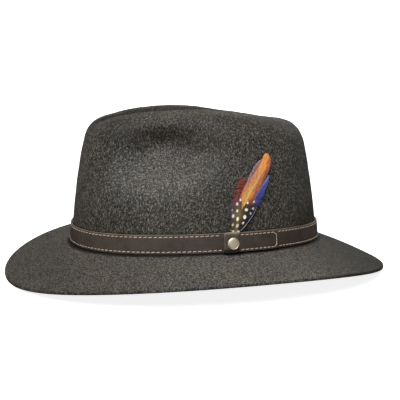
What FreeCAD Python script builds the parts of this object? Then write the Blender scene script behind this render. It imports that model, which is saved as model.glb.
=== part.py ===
import FreeCAD, Part
import Sketcher
import math
import os
from FreeCAD import Matrix, Placement, Rotation, Vector

# Fedora hat with a leather band, feathers, lining and sweatband.
# Millimetres, +Z up.  Front of the hat is -Y, the wearer's left is +X.
# Origin: centre of the head oval, at the height where brim meets crown.
#
# Most places are given by a plan angle phi (0 at the front, growing towards the
# wearer's left), a height, and an offset from the felt's outer face (positive outside).

doc = FreeCAD.newDocument("fedora_hat")
sheet = doc.addObject("Spreadsheet::Sheet", "dims")

CELLS = [
    # felt crown
    ("felt_thick", 2.4), ("oval_length_half", 105.8), ("oval_width_half", 87.7),
    ("wall_lean_long", 0.075), ("wall_curve_long", 0.00081),
    ("wall_lean_wide", 0.085), ("wall_curve_wide", 0.00085), ("crown_set_back", 0.02),
    ("corner_radius_side", 14.5), ("corner_radius_front", 12.9), ("corner_radius_back", 19.0),
    ("front_corner_ease", 0.6), ("dent_depth", 17.0), ("ridge_radius", 80.0),
    # pinches: angles, fore and aft in degrees of plan angle
    ("pinch_left_depth", 23.9), ("pinch_left_angle", 47.2),
    ("pinch_left_fore", 15.8), ("pinch_left_aft", 34.3),
    ("pinch_right_depth", 17.8), ("pinch_right_angle", 54.9),
    ("pinch_right_fore", 19.0), ("pinch_right_aft", 32.0),
    ("pinch_height", 74.7), ("pinch_slope", 0.116),
    ("pinch_reach_up", 20.8), ("pinch_reach_down", 17.5),
    # height of the ridges and half width of the dent, front to back
    ("ridge_top_a", 96.7), ("ridge_top_b", 101.85), ("ridge_top_c", 107.55),
    ("ridge_top_d", 108.7), ("ridge_top_e", 106.7), ("ridge_top_f", 102.85),
    ("ridge_top_g", 100.25), ("ridge_top_i", 97.0),
    ("dent_half_a", 10.0), ("dent_half_b", 10.3), ("dent_half_c", 22.2),
    ("dent_half_d", 33.6), ("dent_half_e", 39.5), ("dent_half_f", 34.3),
    ("dent_half_g", 30.6), ("dent_half_i", 15.9),
    # brim
    ("brim_front", 160.5), ("brim_back", 162.3), ("brim_side", 144.2),
    ("brim_power", 2.06), ("brim_drop", 15.85), ("brim_roll", 9.4), ("break_roll", 2.43),
    # leather band
    ("band_low", 0.6), ("band_high", 15.3), ("band_in", 0.5), ("band_out", 1.8),
    ("backing_in", 0.1), ("backing_out", 0.4),
    ("tab_in", 1.9), ("tab_out", 3.1), ("tab_end", 35.5), ("tab_start", 11.0),
    ("keeper_width", 12.4), ("keeper_height", 16.2), ("keeper_thick", 1.1),
    ("keeper_corner", 2.6), ("keeper_bevel", 0.25), ("keeper_offset", 3.25),
    ("keeper_hole_along", 1.2), ("keeper_hole_down", 0.8),
    ("stitch_length", 2.5), ("stitch_pitch", 3.9), ("stitch_wide", 0.55),
    ("stitch_thick", 0.3), ("stitch_edge", 1.75),
    # stud
    ("cap_radius", 4.7), ("cap_rise", 1.7), ("cap_rim", 0.6), ("post_radius", 1.2),
    ("post_hole", 1.3), ("washer_radius", 2.6), ("washer_thick", 0.28),
    # inside
    ("lining_gap", 0.2), ("tip_gap", 4.3), ("lining_thick", 0.3),
    ("sweat_in", 3.2), ("sweat_out", 4.1), ("sweat_height", 33.0), ("reed_radius", 0.8),
    # feathers
    ("feather_thick", 0.5), ("feather_first", 0.8), ("feather_step", 0.8),
    ("binding_width", 5.2), ("binding_height", 7.2), ("binding_thick", 0.95),
    ("binding_corner", 0.8),
    # bow
    ("knot_width", 4.6), ("knot_height", 7.0), ("knot_thick", 2.2), ("knot_corner", 1.0),
]
for row_number, (alias, value) in enumerate(CELLS, start=1):
    sheet.set("A%d" % row_number, alias.replace("_", " "))
    sheet.set("B%d" % row_number, str(value))
    sheet.setAlias("B%d" % row_number, alias)
doc.recompute()


def size(alias):
    return float(sheet.get(alias))


FELT = size("felt_thick")
FULL_TURN = 2 * math.pi
BACK = math.pi                                   # plan angle of the centre back
PARTS = []                                       # every object that is exported


def add_part(kind, label):
    part = doc.addObject(kind, label)
    part.Label = label
    PARTS.append(part)
    return part


def add_solid(label, shape):
    add_part("Part::Feature", label).Shape = shape


# ---------------------------------------------------------------- crown form
STATION_LETTERS = "abcdefgi"
RIDGE_Y = [-95, -70, -40, -15, 10, 35, 60, 88]   # y of each ridge_top cell
DENT_Y = [-95, -75, -50, -20, 10, 35, 60, 88]    # y of each dent_half cell
HALF_LENGTH, HALF_WIDTH = size("oval_length_half"), size("oval_width_half")
LEAN_LONG, CURVE_LONG = size("wall_lean_long"), size("wall_curve_long")
LEAN_WIDE, CURVE_WIDE = size("wall_lean_wide"), size("wall_curve_wide")
SET_BACK = size("crown_set_back")
CORNER_SIDE = size("corner_radius_side")
CORNER_FRONT = size("corner_radius_front")
CORNER_BACK = size("corner_radius_back")
FRONT_EASE = size("front_corner_ease")
DENT_DEPTH, RIDGE_RADIUS = size("dent_depth"), size("ridge_radius")
NARROWEST_DENT = 3.0                             # least half width of the dent
PINCH_FLOOR = 36                                 # no pinch below this height
PINCH_HEIGHT, PINCH_SLOPE = size("pinch_height"), size("pinch_slope")
PINCH_UP, PINCH_DOWN = size("pinch_reach_up"), size("pinch_reach_down")
PINCH_LEFT, PINCH_RIGHT = [
    [size("pinch_%s_%s" % (side, name)) for name in ("depth", "angle", "fore", "aft")]
    for side in ("left", "right")]
BREAK_ROLL = size("break_roll")


def clamp(value):
    return min(1.0, max(0.0, value))


def ramp(value, start, length):
    """Smooth rise from 0 at start to 1 at start + length."""
    share = clamp((value - start) / length)
    return share * share * (3 - 2 * share)


def smooth_curve(stations, values):
    """Cubic Hermite function through the values, straight beyond both ends."""
    last = len(stations) - 1
    slopes = []
    for i in range(last + 1):
        before, after = max(0, i - 1), min(last, i + 1)
        slopes.append((values[after] - values[before]) / (stations[after] - stations[before]))

    def curve(at):
        i = 0
        while i < last - 1 and at > stations[i + 1]:
            i += 1
        span = stations[i + 1] - stations[i]
        ratio = (at - stations[i]) / span
        share = clamp(ratio)
        rest = 1 - share
        inside = ((1 + 2 * share) * rest ** 2 * values[i]
                  + share * rest ** 2 * span * slopes[i]
                  + share ** 2 * (3 - 2 * share) * values[i + 1]
                  - share ** 2 * rest * span * slopes[i + 1])
        end_slope = slopes[i] if ratio < 0 else slopes[i + 1]
        return inside + (ratio - share) * span * end_slope

    return curve


ridge_height = smooth_curve(RIDGE_Y, [size("ridge_top_" + c) for c in STATION_LETTERS])
dent_half_width = smooth_curve(DENT_Y, [size("dent_half_" + c) for c in STATION_LETTERS])


def oval(z):
    """Half length, half width and centre y of the crown wall at height z."""
    z = min(130.0, max(-5.0, z))
    return (HALF_LENGTH - LEAN_LONG * z - CURVE_LONG * z * z,
            HALF_WIDTH - LEAN_WIDE * z - CURVE_WIDE * z * z,
            -SET_BACK * z)


def pinch(x, bearing, reach, z):
    """Depth pushed in at the two front pinches; bearing in degrees from the front."""
    depth, angle, fore, aft = PINCH_RIGHT if x < 0 else PINCH_LEFT
    ahead = bearing < angle
    around = abs(bearing - angle) / (fore if ahead else aft)
    rise = z - PINCH_HEIGHT - PINCH_SLOPE * (bearing - angle)
    return (depth * math.exp(-around ** (2.0 if ahead else 2.6))
            * math.exp(-(rise / (PINCH_UP if rise > 0 else PINCH_DOWN)) ** 2)
            * ramp(z, start=PINCH_FLOOR, length=22.0)
            * ramp(reach, start=0.35, length=0.3))


def field(x, y, z):
    """Negative inside the crown, positive outside; about the distance in mm."""
    half_length, half_width, centre_y = oval(z)
    across, along = abs(x) / half_width, (y - centre_y) / half_length
    bearing = math.degrees(math.atan2(across, -along))
    reach = math.hypot(across, along)
    to_wall = (reach - 1) * 0.5 * (half_length + half_width)

    # the top: a dent between two ridges that fall away outwards
    dent_half = max(NARROWEST_DENT, dent_half_width(y))
    top = ridge_height(y)
    if abs(x) < dent_half:
        depth = (DENT_DEPTH * ramp(y, start=-96, length=50.0)
                 * ramp(-y, start=-88, length=42.0))
        top -= depth * (1 - (x / dent_half) ** 2) ** 2
    else:
        top -= (abs(x) - dent_half) ** 2 / (2 * RIDGE_RADIUS)
    to_top = z - top

    # wall and top meet in a rounded corner
    corner = (CORNER_SIDE
              + (CORNER_FRONT - CORNER_SIDE) * ramp(-y, start=40, length=40.0)
              + (CORNER_BACK - CORNER_SIDE) * ramp(y, start=35, length=40.0))
    blend = clamp(0.5 + 0.5 * (to_wall - to_top) / corner)
    distance = to_top * (1 - blend) + to_wall * blend + corner * blend * (1 - blend)
    # the corner is eased inwards at the front
    distance += (FRONT_EASE * math.exp(-((y + 92.0) / 13.0) ** 2)
                 * ramp(z, start=66, length=22.0))
    if z > PINCH_FLOOR:
        distance += pinch(x, bearing, reach, z)
    return distance


def normal(x, y, z):
    """Outward direction of the crown, from the slope of its field."""
    step = 0.05
    out = Vector(field(x + step, y, z) - field(x - step, y, z),
                 field(x, y + step, z) - field(x, y - step, z),
                 field(x, y, z + step) - field(x, y, z - step))
    out.normalize()
    return out


def last_inside(is_inside, low, high):
    """Largest value for which is_inside holds, by halving low..high."""
    for _ in range(40):
        middle = 0.5 * (low + high)
        if is_inside(middle):
            low = middle
        else:
            high = middle
    return low


def saddle(phi):
    """Height of the line where brim and crown meet."""
    return 0.42 * math.cos(phi) - BREAK_ROLL * math.cos(2 * phi)


def wall(phi, z, offset):
    """Point on the straight part of the crown wall, offset outside the felt."""
    half_length, half_width, centre_y = oval(z)
    out_x, out_y = math.sin(phi) / half_width, -math.cos(phi) / half_length
    scale = offset / math.hypot(out_x, out_y)
    return Vector(half_width * math.sin(phi) + scale * out_x,
                  centre_y - half_length * math.cos(phi) + scale * out_y, z)


def above_break(phi, height, offset):
    """Wall point at a height above the line where brim and crown meet."""
    return wall(phi, saddle(phi) + height, offset)


def phi_at(y):
    """Plan angle on the wearer's left side for a given y."""
    return math.acos(max(-1.0, min(1.0, -y / HALF_LENGTH)))


def side_point(y, z, offset):
    """Point offset outside the crown on the wearer's left side, at y and z."""
    return Vector(last_inside(lambda x: field(x, y, z) < offset, 20.0, 125.0), y, z)


# ---------------------------------------------------------------- surfaces
def solve(matrix, right_side):
    """Gaussian elimination with pivoting; each right-hand side row is a list."""
    count = len(matrix)
    rows = [list(row) for row in matrix]
    result = [list(row) for row in right_side]
    for i in range(count):
        pivot = max(range(i, count), key=lambda j: abs(rows[j][i]))
        rows[i], rows[pivot] = rows[pivot], rows[i]
        result[i], result[pivot] = result[pivot], result[i]
        for j in range(i + 1, count):
            if rows[j][i]:
                factor = rows[j][i] / rows[i][i]
                for k in range(i, count):
                    if rows[i][k]:
                        rows[j][k] -= factor * rows[i][k]
                result[j] = [a - factor * b for a, b in zip(result[j], result[i])]
    for i in range(count - 1, -1, -1):
        for k in range(i + 1, count):
            if rows[i][k]:
                result[i] = [a - rows[i][k] * b for a, b in zip(result[i], result[k])]
        result[i] = [a / rows[i][i] for a in result[i]]
    return result


def cubic_weights(knots, count, at):
    """First pole that acts at a parameter, and the cubic weights from there on."""
    span = 3
    while span < count - 1 and at >= knots[span + 1]:
        span += 1
    weights = [1.0]
    for degree in range(1, 4):
        raised = [0.0] * (degree + 1)
        for i in range(degree):
            right = knots[span + i + 1] - at
            left = at - knots[span + 1 - (degree - i)]
            part = weights[i] / (right + left)
            raised[i] += right * part
            raised[i + 1] += left * part
        weights = raised
    return span - 3, weights


def spline_surface(rows):
    """Surface through rows of points: closed along a row, open across the rows."""
    around, across = len(rows[0]), len(rows)

    # across the rows: clamped cubic, parameters by mean chord length
    places = [0.0]
    for before, row in zip(rows, rows[1:]):
        chords = sum((b - a).Length for a, b in zip(before, row))
        places.append(places[-1] + chords / around)
    places = [place / places[-1] for place in places]
    inner_knots = [sum(places[i:i + 3]) / 3.0 for i in range(1, across - 3)]
    knots = [0.0] * 4 + inner_knots + [1.0] * 4
    matrix = [[0.0] * across for _ in range(across)]
    matrix[0][0] = matrix[-1][-1] = 1.0
    for i in range(1, across - 1):
        first, weights = cubic_weights(knots, across, places[i])
        matrix[i][first:first + 4] = weights
    half_solved = solve(matrix, [[c for point in row for c in (point.x, point.y, point.z)]
                                 for row in rows])

    # along a row: periodic cubic on even knots
    matrix = [[0.0] * around for _ in range(around)]
    for j in range(around):
        matrix[j][j] = 4 / 6.0
        matrix[j][j - 1] = matrix[j][(j + 1) % around] = 1 / 6.0
    solved = solve(matrix, [[c for row in half_solved for c in row[3 * j:3 * j + 3]]
                            for j in range(around)])
    poles = [[Vector(*column[3 * i:3 * i + 3]) for i in range(across)] for column in solved]

    # poles, multiplicities (u, v), knots (u, v), periodic (u, v), degrees (u, v)
    surface = Part.BSplineSurface()
    surface.buildFromPolesMultsKnots(
        poles, [1] * (around + 1), [4] + [1] * len(inner_knots) + [4],
        [float(i) for i in range(around + 1)], [0.0] + inner_knots + [1.0],
        True, False, 3, 3)
    return surface


def end_edge(surface, last):
    """Closed edge along the first or the last row of a surface."""
    v_first, v_last = surface.bounds()[2:]
    return surface.vIso(v_last if last else v_first).toShape()


def bridge(surface_a, surface_b, last):
    """Ruled face between the matching end edges of two surfaces."""
    return Part.makeRuledSurface(end_edge(surface_a, last), end_edge(surface_b, last))


def top_cap(surface):
    return Part.Face(Part.Wire(end_edge(surface, True)))


def closed_solid(faces):
    shell = Part.makeShell([face for shape in faces for face in shape.Faces])
    shell.sewShape()
    if shell.ShapeType != "Shell":               # sewing may wrap the shell
        shell = shell.Shells[0]
    solid = Part.makeSolid(shell)
    if solid.Volume < 0:
        solid.reverse()
    return solid


def ruled_sides(sections, closed):
    """Faces that join the matching corners of a list of cross-sections."""
    edges = []
    for corners in zip(*sections):
        curve = Part.BSplineCurve()
        curve.interpolate(Points=list(corners), PeriodicFlag=closed)
        edges.append(curve.toShape())
    return [Part.makeRuledSurface(edge, following)
            for edge, following in zip(edges, edges[1:] + edges[:1])]


def strip(sections):
    """Strip with two ends through a list of cross-sections."""
    faces = ruled_sides(sections, False)
    for corners in (sections[0], sections[-1]):
        if len(corners) == 4:
            faces.append(Part.makeRuledSurface(Part.makeLine(corners[0], corners[1]),
                                               Part.makeLine(corners[3], corners[2])))
        else:
            faces.append(Part.Face(Part.makePolygon(corners + corners[:1])))
    return closed_solid(faces)


def wall_section(phi, heights, offsets):
    """Four-cornered section on the wall, between two heights and two offsets."""
    (low, high), (near, far) = heights, offsets
    return [above_break(phi, low, near), above_break(phi, low, far),
            above_break(phi, high, far), above_break(phi, high, near)]


def wall_strip(heights, offsets, start, end, steps):
    """Strip along the wall from one plan angle to another."""
    return strip([wall_section(start + (end - start) * i / steps, heights, offsets)
                  for i in range(steps + 1)])


# ---------------------------------------------------------------- felt body
ANGLES = [FULL_TURN * i / 72 for i in range(72)]
WALL_HEIGHTS = [6, 13, 20, 27, 34, 41, 48]
# rows above the wall: degrees of elevation, seen from a point on the Z axis
ELEVATIONS = [0, 6, 12, 17, 21, 24.5, 28, 31.5, 35, 39, 43, 47, 51, 55, 59, 63, 67, 71, 75,
              79, 83, 86.5]
VIEW_HEIGHT = 55.0
SADDLE_FADE = 30.0                               # rows are level from this height up


def wall_row(height):
    row = []
    for phi in ANGLES:
        z = height + saddle(phi) * max(0.0, 1 - height / SADDLE_FADE)
        base = wall(phi, z, 0.0)
        scale = last_inside(lambda k: field(base.x * k, base.y * k, z) < 0, 0.5, 1.3)
        row.append(Vector(base.x * scale, base.y * scale, z))
    return row


def top_row(elevation):
    level, rise = math.cos(math.radians(elevation)), math.sin(math.radians(elevation))
    row = []
    for phi in ANGLES:
        ray = Vector(level * math.sin(phi) * 0.85, -level * math.cos(phi), rise)
        reach = last_inside(
            lambda k: field(k * ray.x, k * ray.y, VIEW_HEIGHT + k * ray.z) < 0, 2.0, 140.0)
        row.append(Vector(0, 0, VIEW_HEIGHT) + ray * reach)
    return row


CROWN = [[above_break(phi, 0.0, 0.0) for phi in ANGLES]]
CROWN += [wall_row(height) for height in WALL_HEIGHTS]
CROWN += [top_row(elevation) for elevation in ELEVATIONS]
# the lowest row takes its normals from just above the break
NORMALS = [[normal(point.x, point.y, point.z + (0.0 if i else 0.5)) for point in row]
           for i, row in enumerate(CROWN)]


def inset(depth, first, last):
    """Crown rows first to last - 1, moved inwards; the top row is levelled for its cap."""
    rows = [[point - out * depth for point, out in zip(points, outs)]
            for points, outs in zip(CROWN[first:last], NORMALS[first:last])]
    if last == len(CROWN):
        level = sum(point.z for point in rows[-1]) / len(ANGLES)
        for point in rows[-1]:
            point.z = level
    return rows


BRIM_FRONT, BRIM_BACK, BRIM_SIDE = size("brim_front"), size("brim_back"), size("brim_side")
BRIM_EXPONENT = 2 / size("brim_power")
BRIM_DROP = size("brim_drop")
# waves in the height of the brim edge: (waves per turn, height)
BRIM_WAVES = [(1, 0.77), (2, -size("brim_roll")), (3, -0.46), (4, -0.21), (5, -0.24)]
BRIM_SHARES = [0, 0.1, 0.25, 0.4, 0.55, 0.7, 0.85, 1.0]   # rows, from break to edge


def brim_edge(phi):
    """Point on the upper edge of the brim, a superellipse in plan."""
    sine, cosine = math.sin(phi), math.cos(phi)
    reach = BRIM_FRONT if cosine > 0 else BRIM_BACK
    return Vector(math.copysign(BRIM_SIDE * abs(sine) ** BRIM_EXPONENT, sine),
                  -math.copysign(reach * abs(cosine) ** BRIM_EXPONENT, cosine),
                  -BRIM_DROP + sum(tall * math.cos(n * phi) for n, tall in BRIM_WAVES))


def brim_rows(base, lowered):
    """Rows from the base row to the brim edge, lowered below the upper face."""
    rows = []
    for share in BRIM_SHARES:
        row = []
        for phi, start in zip(ANGLES, base):
            edge = brim_edge(phi)
            span = math.hypot(edge.x - start.x, edge.y - start.y)
            arch = 0.029 - 0.048 * math.cos(phi) + 0.041 * math.cos(2 * phi)
            start_z = start.z + lowered
            z = (start_z + (edge.z - start_z) * share
                 + arch * span * share * (1 - share) - lowered)
            row.append(Vector(start.x + (edge.x - start.x) * share,
                              start.y + (edge.y - start.y) * share, z))
        rows.append(row)
    return rows


def make_felt_body():
    outer_rows = inset(0.0, 0, len(CROWN))
    inner_rows = inset(FELT, 0, len(CROWN))
    # inner corner of the break
    inner_rows[0] = [above_break(phi, 0.0, -FELT) - Vector(0, 0, FELT) for phi in ANGLES]
    outer, inner = spline_surface(outer_rows), spline_surface(inner_rows)
    upper = spline_surface(brim_rows(outer_rows[0], 0.0))
    lower = spline_surface(brim_rows(inner_rows[0], FELT))
    faces = [surface.toShape() for surface in (outer, inner, upper, lower)]
    faces += [bridge(upper, lower, True), top_cap(outer), top_cap(inner)]
    add_solid("felt_body", closed_solid(faces))


# ---------------------------------------------------------------- lining
LINING_GAP, LINING_THICK = size("lining_gap"), size("lining_thick")
SIDE_FIRST_ROW = 2
TIP_FIRST_ROW = 14                               # crown row where the tip starts


def lining_skin(first, last, depth):
    """Thin skin under crown rows first to last - 1."""
    outer = spline_surface(inset(depth, first, last))
    inner = spline_surface(inset(depth + LINING_THICK, first, last))
    faces = [outer.toShape(), inner.toShape(), bridge(outer, inner, False)]
    if last == len(CROWN):
        faces += [top_cap(outer), top_cap(inner)]
    else:
        faces.append(bridge(outer, inner, True))
    return closed_solid(faces)


def make_lining():
    add_solid("lining_side", lining_skin(SIDE_FIRST_ROW, TIP_FIRST_ROW, FELT + LINING_GAP))
    add_solid("lining_tip", lining_skin(TIP_FIRST_ROW, len(CROWN), FELT + size("tip_gap")))


# ---------------------------------------------------------------- stud place
def frame(x_axis, y_axis, z_axis, origin):
    return Matrix(x_axis.x, y_axis.x, z_axis.x, origin.x,
                  x_axis.y, y_axis.y, z_axis.y, origin.y,
                  x_axis.z, y_axis.z, z_axis.z, origin.z,
                  0, 0, 0, 1)


STUD_Y, STUD_Z = -4.75, 9.3
STUD_FOOT = wall(phi_at(STUD_Y), STUD_Z, 0.0)
STUD_OUT = normal(STUD_FOOT.x, STUD_FOOT.y, STUD_FOOT.z)
STUD_ALONG = Vector(0, 0, 1).cross(STUD_OUT)     # level, towards the back
STUD_ALONG.normalize()
STUD_UP = STUD_OUT.cross(STUD_ALONG)


def stud_place(out, along=0.0, up=0.0):
    """Frame at the stud: z out of the crown, x along it, y up it."""
    origin = STUD_FOOT + STUD_OUT * out + STUD_ALONG * along + STUD_UP * up
    return Placement(frame(STUD_ALONG, STUD_UP, STUD_OUT, origin))


def stud_bore(radius, start, end):
    """Cylinder on the stud axis, between two distances from the felt."""
    return Part.makeCylinder(radius, end - start, STUD_FOOT + STUD_OUT * start, STUD_OUT)


# ---------------------------------------------------------------- hat band
BAND_LOW, BAND_HIGH = size("band_low"), size("band_high")
BAND_OUT, TAB_OUT = size("band_out"), size("tab_out")
BACKING_MARGIN = 1.5                             # backing is narrower by this at each edge
WASHER_PLAY = 0.4
NOTCH_SIZE = (14.0, 8.0, 7.0)
NOTCH_PLACE = (0.9, -7.1, 2.3)                   # corner: out, along, up


def wall_ring(heights, offsets):
    """Endless strip around the crown wall."""
    sections = [wall_section(phi, heights, offsets) for phi in ANGLES]
    return closed_solid(ruled_sides(sections, True))


def make_band():
    band = wall_ring((BAND_LOW, BAND_HIGH), (size("band_in"), BAND_OUT))
    add_solid("hat_band", band.cut(stud_bore(size("post_hole"), -0.5, 4)))
    backing = wall_ring((BAND_LOW + BACKING_MARGIN, BAND_HIGH - BACKING_MARGIN),
                        (size("backing_in"), size("backing_out")))
    washer_hole = stud_bore(size("washer_radius") + WASHER_PLAY, -0.5, 2)
    add_solid("band_backing", backing.cut(washer_hole))


def make_tab():
    tab = wall_strip((BAND_LOW, BAND_HIGH), (size("tab_in"), TAB_OUT),
                     phi_at(-size("tab_start")), phi_at(size("tab_end")), 12)
    tab = tab.cut(stud_bore(size("post_hole"), 0, 6))
    notch = Part.makeBox(*NOTCH_SIZE)            # room for the quills
    notch.Placement = stud_place(*NOTCH_PLACE)
    add_solid("band_tab", tab.cut(notch))


# ---------------------------------------------------------------- stitches
STITCH_LENGTH, STITCH_PITCH = size("stitch_length"), size("stitch_pitch")
STITCH_WIDE, STITCH_THICK = size("stitch_wide"), size("stitch_thick")
STITCH_LIFT = 0.03                               # gap between thread and leather
STITCH_HEIGHTS = (BAND_HIGH - size("stitch_edge"), BAND_LOW + size("stitch_edge"))
SMALL_TURN = 0.01                                # step for directions along the wall
BAND_STITCH_Y = (36.6, -12.6)                    # start and end, the long way round
TAB_STITCH_Y = (4.0, 33.0)
TAB_END_Y = 33.6                                 # upright row at the end of the tab
TAB_END_HEIGHTS = (5.4, 8.6, 11.4)
TAB_END_LENGTH = 2.3


def stitch(place, along, out, length):
    """One visible stitch: a short thread lying on the surface."""
    side = out.cross(along)
    side.normalize()
    thread = Part.makeBox(length, STITCH_WIDE, STITCH_THICK,
                          Vector(-length / 2, -STITCH_WIDE / 2, 0))
    thread.transformShape(frame(along, side, out, place + out * STITCH_LIFT))
    return thread


def stitch_row(height, offset, start, end, pitch=STITCH_PITCH, length=STITCH_LENGTH,
               inward=False):
    """Stitches along the wall from one plan angle to another."""
    stitches, phi = [], start
    while phi < end:
        step = above_break(phi + SMALL_TURN, height, offset) - above_break(phi, height, offset)
        turn = SMALL_TURN * pitch / step.Length
        middle = phi + turn / 2
        if middle > end:
            break
        along = (above_break(middle + SMALL_TURN, height, offset)
                 - above_break(middle - SMALL_TURN, height, offset))
        along.normalize()
        up = above_break(middle, height + 1, offset) - above_break(middle, height - 1, offset)
        out = along.cross(up)
        out.normalize()
        if inward:
            out = out * -1
        stitches.append(stitch(above_break(middle, height, offset), along, out, length))
        phi += turn
    return stitches


def make_band_stitches():
    start, end = [phi_at(y) for y in BAND_STITCH_Y]
    for name, height in zip(("band_stitch_top", "band_stitch_bottom"), STITCH_HEIGHTS):
        row = stitch_row(height, BAND_OUT, start, end + FULL_TURN)
        add_solid(name, Part.makeCompound(row))


def make_tab_stitches():
    start, end = [phi_at(y) for y in TAB_STITCH_Y]
    stitches = []
    for height in STITCH_HEIGHTS:
        stitches += stitch_row(height, TAB_OUT, start, end)
    phi = phi_at(TAB_END_Y)
    for height in TAB_END_HEIGHTS:
        z = saddle(phi) + height
        place = wall(phi, z, TAB_OUT)
        up = wall(phi, z + 1, TAB_OUT) - place
        up.normalize()
        out = (wall(phi + SMALL_TURN, z, TAB_OUT) - place).cross(up)
        out.normalize()
        stitches.append(stitch(place, up, out, TAB_END_LENGTH))
    add_solid("tab_stitch", Part.makeCompound(stitches))


# ---------------------------------------------------------------- body tools
def new_sketch(body, name, role):
    """Sketch on the origin plane of the body that has the given role."""
    sketch = body.newObject("Sketcher::SketchObject", name)
    plane = next(item for item in body.Origin.OriginFeatures if item.Role == role)
    sketch.AttachmentSupport = [(plane, "")]
    sketch.MapMode = "FlatFace"
    return sketch


def bind(sketch, expression, *constraint):
    """Add a dimension to a sketch and drive it by an expression."""
    index = sketch.addConstraint(Sketcher.Constraint(*constraint))
    sketch.setExpression("Constraints[%d]" % index, expression)


def add_loop(sketch, points):
    """Closed loop of lines; line i starts at point i."""
    count = len(points)
    for i in range(count):
        sketch.addGeometry(Part.LineSegment(points[i], points[(i + 1) % count]), False)
    for i in range(count):
        sketch.addConstraint(Sketcher.Constraint("Coincident", i, 2, (i + 1) % count, 1))


def rectangle(body, name, width, height):
    """Centred rectangle whose sides follow two cells of the sheet."""
    sketch = new_sketch(body, name, "XY_Plane")
    half_x, half_y = size(width) / 2, size(height) / 2
    add_loop(sketch, [Vector(-half_x, -half_y, 0), Vector(half_x, -half_y, 0),
                      Vector(half_x, half_y, 0), Vector(-half_x, half_y, 0)])
    for kind, line in (("Horizontal", 0), ("Horizontal", 2), ("Vertical", 1), ("Vertical", 3)):
        sketch.addConstraint(Sketcher.Constraint(kind, line))
    sketch.addConstraint(Sketcher.Constraint("Symmetric", 0, 1, 2, 1, -1, 1))
    bind(sketch, "dims." + width, "DistanceX", 0, 1, 0, 2, 2 * half_x)
    bind(sketch, "dims." + height, "DistanceY", 1, 1, 1, 2, 2 * half_y)
    return sketch


def upright_edges(shape):
    names = []
    for i, edge in enumerate(shape.Edges, start=1):
        line = edge.Vertexes[-1].Point - edge.Vertexes[0].Point
        if abs(line.x) < 1e-6 and abs(line.y) < 1e-6 and abs(line.z) > 1e-6:
            names.append("Edge%d" % i)
    return names


def top_edges(shape):
    """Edges of the top outline; full circles, with one vertex, are left out."""
    top = max(vertex.Point.z for vertex in shape.Vertexes)
    return ["Edge%d" % i for i, edge in enumerate(shape.Edges, start=1)
            if len(edge.Vertexes) > 1
            and all(abs(vertex.Point.z - top) < 1e-6 for vertex in edge.Vertexes)]


def rounded_plate(label, stem, fillet_name, pick_edges):
    """Body with a filleted plate, sized by the cells whose names start with stem."""
    body = add_part("PartDesign::Body", label)
    outline = rectangle(body, stem + "_outline", stem + "_width", stem + "_height")
    plate = body.newObject("PartDesign::Pad", stem + "_pad")
    plate.Profile = outline
    plate.setExpression("Length", "dims.%s_thick" % stem)
    doc.recompute()
    fillet = body.newObject("PartDesign::Fillet", fillet_name)
    fillet.Base = (plate, pick_edges(plate.Shape))
    fillet.setExpression("Radius", "dims.%s_corner" % stem)
    return body, fillet


def cell(alias, extra=0.0):
    """Coordinate driven by a cell: its value and its expression."""
    sign = "-" if extra < 0 else "+"
    return size(alias) + extra, "dims.%s %s %g" % (alias, sign, abs(extra))


def fixed(value):
    """Coordinate that no cell drives."""
    return value, None


def turned_body(label, stem, points):
    """Body turned about Z from a closed profile of (radius, z) coordinates."""
    body = add_part("PartDesign::Body", label)
    sketch = new_sketch(body, stem + "_profile", "XZ_Plane")
    add_loop(sketch, [Vector(radius[0], z[0], 0) for radius, z in points])
    for i, point in enumerate(points):
        for (value, expression), kind, zero_axis in zip(point, ("DistanceX", "DistanceY"),
                                                        (-2, -1)):
            if value == 0:
                sketch.addConstraint(Sketcher.Constraint("PointOnObject", i, 1, zero_axis))
            elif expression:
                bind(sketch, expression, kind, -1, 1, i, 1, value)
            else:
                sketch.addConstraint(Sketcher.Constraint(kind, -1, 1, i, 1, value))
    turned = body.newObject("PartDesign::Revolution", stem + "_turned")
    turned.Profile = sketch
    turned.ReferenceAxis = (sketch, ["V_Axis"])
    turned.Angle = 360.0
    return body


# ---------------------------------------------------------------- keeper and stud
CAP_SEAT = size("keeper_offset") + size("keeper_thick") + 0.05
CAP_WALL = 0.6                                   # thickness of the cap over its hollow
POST_SEAT = 0.12
POST_PLAY_SIDE, POST_PLAY_TOP = 0.05, 0.1        # clearance of the post in the cap


def make_keeper():
    """Leather patch riveted over band and tab, a pocket for the quills."""
    body, corners = rounded_plate("keeper_patch", "keeper", "keeper_corners", upright_edges)
    doc.recompute()
    radius, along, down = [size(alias) for alias in
                           ("post_hole", "keeper_hole_along", "keeper_hole_down")]
    hole = new_sketch(body, "keeper_hole", "XY_Plane")
    hole.addGeometry(Part.Circle(Vector(along, -down, 0), Vector(0, 0, 1), radius), False)
    bind(hole, "dims.post_hole", "Radius", 0, radius)
    bind(hole, "dims.keeper_hole_along", "DistanceX", -1, 1, 0, 3, along)
    bind(hole, "dims.keeper_hole_down", "DistanceY", 0, 3, -1, 1, down)
    bore = body.newObject("PartDesign::Pocket", "keeper_bore")
    bore.Profile = hole
    bore.Type = 1                                # through all
    bore.Reversed = True
    doc.recompute()
    # turn the pocket round if it ran away from the plate
    if bore.Shape.Volume > corners.Shape.Volume - 1.0:
        bore.Reversed = False
        doc.recompute()
    bevel = body.newObject("PartDesign::Chamfer", "keeper_bevel")
    bevel.Base = (bore, top_edges(bore.Shape))
    bevel.setExpression("Size", "dims.keeper_bevel")
    body.Placement = stud_place(size("keeper_offset"), -along, down)


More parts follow.
